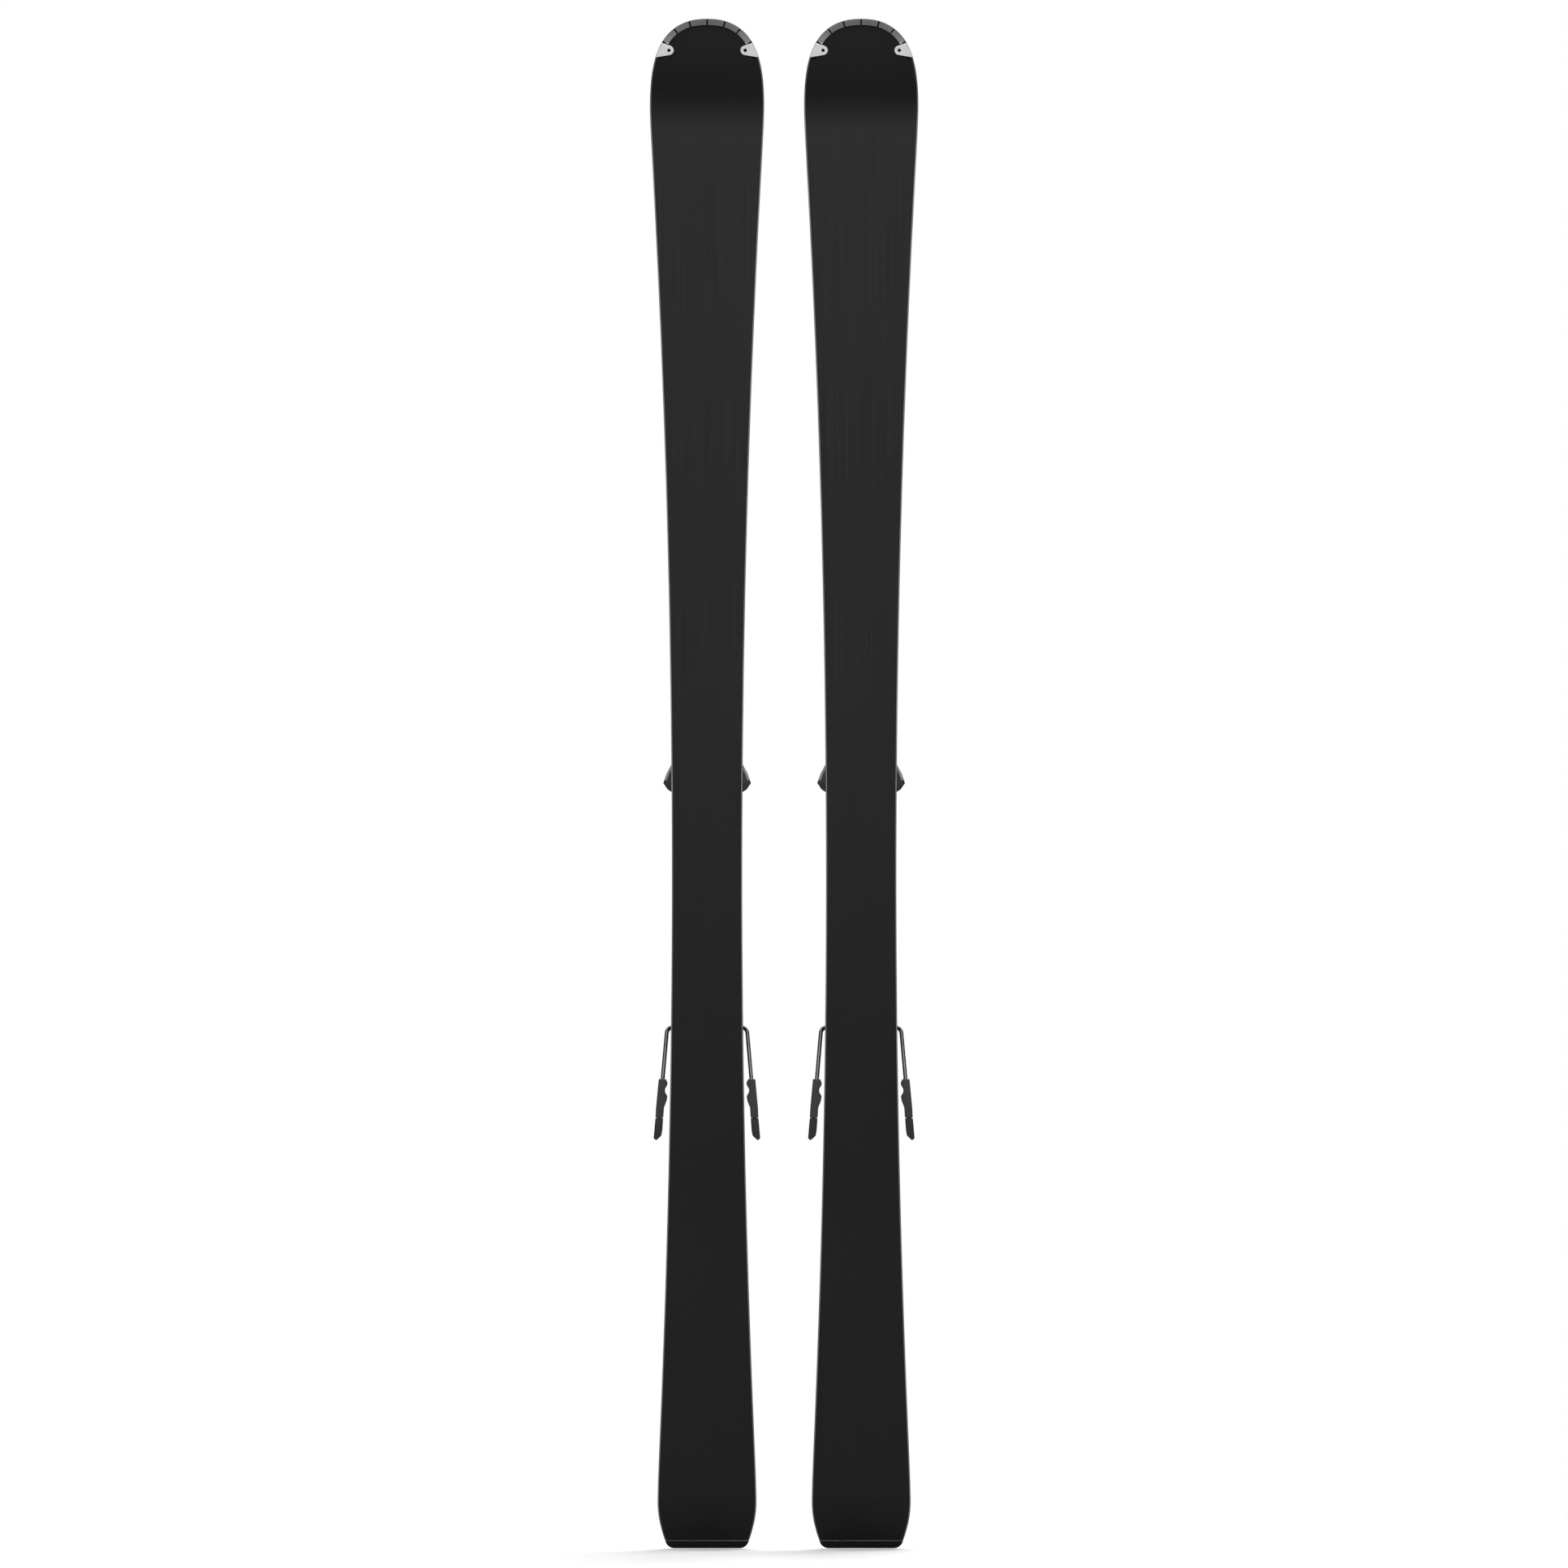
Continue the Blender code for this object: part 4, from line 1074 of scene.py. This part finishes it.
def heel_cup(ski):
    """The heel piece's housing with its cup, treadle, lever slot, vents and setting window."""
    profile = [
        (452.0, 38.0), (501.0, 38.0), (512.0, 48.0), (514.0, 66.0), (514.0, 74.0), (508.0, 79.0),
        (490.0, 82.6), (474.0, 84.0), (458.0, 83.6), (446.0, 81.6), (436.5, 77.0), (431.5, 69.0),
        (430.0, 54.0), (448.0, 46.0),
    ]
    lever_slot = [
        (420.0, 76.2), (464.0, 76.2), (464.0, 74.6), (468.0, 74.0),
        (472.0, 75.3), (474.0, 80.0), (474.0, 96.0), (420.0, 96.0),
    ]
    cuts = [
        (CUT, block((-26.6, 26.6), (20.0, 71.0), (433.6, 494.0))),
        (CUT, rod("Y", (0.0, 539.0), 37.0, 30.0, 66.8, 120)),
        (CUT, rod("X", HEEL_PIVOT, 4.3, -35.0, 35.0)),
        (CUT, rod("Z", (0.0, HEEL_PIVOT[1]), 5.2, 420.0, 440.0)),
        (CUT, prism("X", lever_slot, -13.4, 13.4)),
        (CUT, rod("X", LEVER_PIVOT, 2.3, -19.0, 19.0)),
        (CUT, slab((-7.0, 7.0), (482.0, 500.0), (80.2, 95.0), 3.0)),
        (JOIN, block((-17.0, 17.0), (30.0, 46.0), (494.5, 501.5))),
        (JOIN, block((-17.0, 17.0), (29.0, 35.0), (479.0, 526.0))),
    ]
    for span in both_sides(29.2, 35.0):
        for y in (60.0, 64.5, 69.0):
            cuts.append((CUT, block(span, (y, y + 1.6), (482.0, 506.0))))
    ski.piece(
        "heel_cup_shell", prism("X", profile, -CUP_HALF, CUP_HALF), "black", "plastic", "_heel_cup",
        bevel=3.0, segments=4, cuts=cuts, fine=0.3, replaces=["heel_housing"],
    )
    window = slab((-6.6, 6.6), (482.4, 499.6), (79.4, 80.7), 2.7)
    ski.piece("heel_window", window, "light", "grey_plastic", "_heel_cup", bevel=0.3)
    marks = scale_marks(4.6, 3.0, (80.6, 80.8), spread(485.0, 496.5, 7))
    ski.piece("heel_window_marks", marks, "black", "plastic", "_heel_cup")


def heel_lever(ski):
    """The release lever; its outline is (reach along it, rise above it) from its pivot."""
    pivot = Vector(LEVER_PIVOT)
    along = Vector((-math.cos(LEVER_ANGLE), math.sin(LEVER_ANGLE)))
    up = Vector((along.y, -along.x))
    blade = []
    for reach, rise in (
        (0.0, -3.0), (24.0, -2.8), (46.0, -2.0), (49.0, 1.0), (49.0, 3.4),
        (46.0, 6.0), (43.0, 5.2), (36.0, 3.2), (16.0, 3.4), (0.0, 4.0),
    ):
        blade.append(tuple(pivot + along * reach + up * rise))
    dimple = tuple(pivot + along * 30.0 + up * 9.4)
    cuts = [
        (JOIN, rod("X", LEVER_PIVOT, 5.3, -12.9, 12.9)),
        (JOIN, rod("X", LEVER_PIVOT, 2.0, -17.5, 17.5)),
        (CUT, rod("X", dimple, 8.0, -7.0, 7.0)),
    ]
    ski.piece(
        "release_lever", prism("X", blade, -13.0, 13.0), "charcoal", "grey_plastic", "_lever",
        bevel=1.1, cuts=cuts, fine=0.3, replaces=["heel_lever"],
    )


def heel_piece(ski):
    heel_track(ski)
    heel_cup(ski)
    heel_lever(ski)
    low, high = HEEL_SPRING
    shape = coil(HEEL_PIVOT[1], low, high, 6.3)
    spring = ski.piece("heel_coil", shape, "steel", "steel", "_heel_cup", replaces=["heel_spring"])
    ski.pressed(spring, "_heel_step_in", low, 1.0 - HEEL_PRESS / (high - low))
    for node in ("heel_pin", "heel_piston", "heel_screw"):
        ski.dress(node, "steel")


def on_crank(outline):
    """(reach from the brake's pivot, y) points turned up to the pedal's resting position."""
    return raised([(BRAKE_PIVOT[0] + reach, y) for reach, y in outline])


def brake_wire(ski):
    """One bent wire: an arm on each side, and a crank between them under the pedal."""
    brake_z, brake_y = BRAKE_PIVOT
    [(crank_z, crank_y)] = on_crank([(CRANK_LONG, brake_y)])
    right = [
        ARM_ROOT + (ARM_END - ARM_ROOT) * WIRE_STOP,
        ARM_ROOT,
        Vector((CRANK_X, brake_y, brake_z)),
        Vector((CRANK_X, crank_y, crank_z)),
    ]
    corners = right + [Vector((-p.x, p.y, p.z)) for p in reversed(right)]
    bends = [ARM_BEND] + [CRANK_BEND] * 4 + [ARM_BEND]
    wire = tube(bent(corners, bends), WIRE_RADIUS, 28)
    ski.piece("brake_spring_wire", wire, "wire", "steel", "_brake", replaces=["brake_wire"])


def brake_tread(ski):
    """The grooved pedal, hooked over the wire's crank."""
    plate = rounded([(6.0, 31.0), (49.0, 31.0), (52.0, 33.0), (50.0, 35.0), (6.0, 35.0)], 1.0)
    hook = on_crank([(31.0, 24.4), (41.0, 24.4), (41.0, 32.0), (31.0, 32.0)])
    [crank] = on_crank([(CRANK_LONG, BRAKE_PIVOT[1])])
    cuts = [(JOIN, prism("X", hook, low, high)) for low, high in both_sides(8.0, 12.0)]
    cuts.append((CUT, rod("X", crank, WIRE_RADIUS + GAP, -14.0, 14.0)))
    for reach in (11.0, 17.0, 23.0, 29.0, 35.0, 41.0):
        groove = [(reach, 34.2), (reach + 2.0, 34.2), (reach + 2.0, 37.0), (reach, 37.0)]
        cuts.append((CUT, prism("X", on_crank(groove), -22.0, 22.0)))
    tread = prism("X", on_crank(plate), -27.0, 27.0)
    ski.piece(
        "brake_tread", tread, "black", "plastic", "_brake",
        bevel=0.8, cuts=cuts, replaces=["brake_pedal"],
    )


def brake_feet(ski):
    """The moulded feet on the arms, each with a tip made darker by painted shade."""
    arm = ARM_END - ARM_ROOT

    def along_arm(outline, depth):
        """An (x, z) outline with a depth in Y, centred on the slanting arm."""
        rings = []
        for side in (-0.5, 0.5):
            ring = []
            for x, z in outline:
                share = (z - ARM_ROOT.z) / arm.z
                ring.append((x, ARM_ROOT.y + arm.y * share + side * depth, z))
            rings.append(ring)
        return loft(rings)

    upper = rounded(
        [
            (50.5, 490.8), (43.0, 490.8), (41.2, 487.0), (41.4, 484.6), (43.9, 480.4), (43.9, 477.2),
            (41.3, 472.7), (42.1, 468.2), (44.9, 461.0), (45.6, 450.4), (53.8, 450.4), (53.3, 461.0),
        ],
        0.9,
    )
    lower = rounded(
        [(53.9, 450.1), (45.7, 450.1), (46.5, 438.0), (47.5, 432.0), (52.9, 426.9), (55.7, 429.0)],
        1.1,
    )
    bore = tube([ARM_ROOT + arm * BORE_START, ARM_ROOT + arm * BORE_STOP], WIRE_RADIUS + GAP, 24)
    for side, turn in SIDES:
        cuts = [(CUT, turn(bore))]
        ski.piece(
            "brake_paddle_" + side, turn(along_arm(upper, FOOT_DEPTH)), "foot", "grey_plastic", "_brake",
            bevel=0.8, cuts=cuts, replaces=["brake_foot_" + side],
        )
        # The tip's darker plastic is painted shade
        tip = turn(along_arm(lower, FOOT_TIP_DEPTH))
        ski.piece(
            "brake_paddle_tip_" + side, tip, "foot_painted_shade", "grey_plastic", "_brake",
            bevel=0.7, cuts=cuts,
        )


for name in ("ski1", "ski2"):
    ski = Ski(name)
    ski_body(ski)
    tip_guard(ski)
    tail_guard(ski)
    binding_plate(ski)
    toe_piece(ski)
    heel_piece(ski)
    brake_wire(ski)
    brake_tread(ski)
    brake_feet(ski)


# ---------------------------------------------------------------- studio, in metres

CAMERA_FAR = 40.0
SENSOR = 36.0
VIEW_WIDE = 1.6393
AIM = Vector((0.08047, 0.0, TAIL_Z + 0.7991))
WORLD_LIGHT = 0.05
LIGHT_TARGET = Vector((0.08, 0.0, 0.15))
SOFTBOXES = (
    ("front", (0.08, -3.6, 1.1), (2.2, 2.5), 58.0),
    ("high", (0.08, -1.6, 3.4), (2.0, 2.0), 15.0),
    ("left", (-4.5, 0.6, 0.5), (1.6, 3.0), 70.0),
    ("right", (4.7, 0.6, 0.5), (1.6, 3.0), 35.0),
    ("back", (1.4, 5.0, 1.6), (3.0, 3.0), 160.0),
    ("top", (0.08, 2.2, 4.2), (3.0, 3.0), 200.0),
)
FLOOR_X = (-1.4, 1.6)
FLOOR_Y = (-1.3, 1.3)
FLOOR_GAP = 0.0005


def add_camera():
    """A level camera so far off that both skis are seen straight on."""
    data = bpy.data.cameras.new("camera")
    data.sensor_width = SENSOR
    data.lens = SENSOR * CAMERA_FAR / VIEW_WIDE
    data.clip_end = 3.0 * CAMERA_FAR
    camera = bpy.data.objects.new("camera", data)
    camera.location = AIM - Vector((0.0, CAMERA_FAR, 0.0))
    camera.rotation_euler = (math.radians(90.0), 0.0, 0.0)
    bpy.context.scene.collection.objects.link(camera)
    bpy.context.scene.camera = camera


def add_world():
    """A white backdrop that lights the skis only faintly."""
    world = bpy.data.worlds.new("studio")
    world.use_nodes = True
    nodes, links = world.node_tree.nodes, world.node_tree.links
    faint = nodes["Background"]
    seen = nodes.new("ShaderNodeBackground")
    for background, strength in ((faint, WORLD_LIGHT), (seen, 1.0)):
        background.inputs["Color"].default_value = (1.0, 1.0, 1.0, 1.0)
        background.inputs["Strength"].default_value = strength
    rays = nodes.new("ShaderNodeLightPath")
    mix = nodes.new("ShaderNodeMixShader")
    links.new(rays.outputs["Is Camera Ray"], mix.inputs[0])
    links.new(faint.outputs[0], mix.inputs[1])
    links.new(seen.outputs[0], mix.inputs[2])
    links.new(mix.outputs[0], nodes["World Output"].inputs["Surface"])
    bpy.context.scene.world = world
    bpy.context.scene.view_settings.view_transform = "Standard"


def add_softbox(name, place, size, energy):
    data = bpy.data.lights.new(name, "AREA")
    data.shape = "RECTANGLE"
    data.size, data.size_y = size
    data.energy = energy
    obj = bpy.data.objects.new(name, data)
    obj.location = place
    obj.rotation_euler = (LIGHT_TARGET - Vector(place)).to_track_quat("-Z", "Y").to_euler()
    obj.visible_camera = False
    bpy.context.scene.collection.objects.link(obj)


def add_floor():
    low = TAIL_Z - FLOOR_GAP
    corners = [(FLOOR_X[i], FLOOR_Y[j], low) for i, j in ((0, 0), (1, 0), (1, 1), (0, 1))]
    mesh = bpy.data.meshes.new("floor")
    mesh.from_pydata(corners, [], [(0, 1, 2, 3)])
    floor = bpy.data.objects.new("floor", mesh)
    bpy.context.scene.collection.objects.link(floor)
    mesh.materials.append(pale_floor())


add_camera()
add_world()
for softbox in SOFTBOXES:
    add_softbox(*softbox)
add_floor()
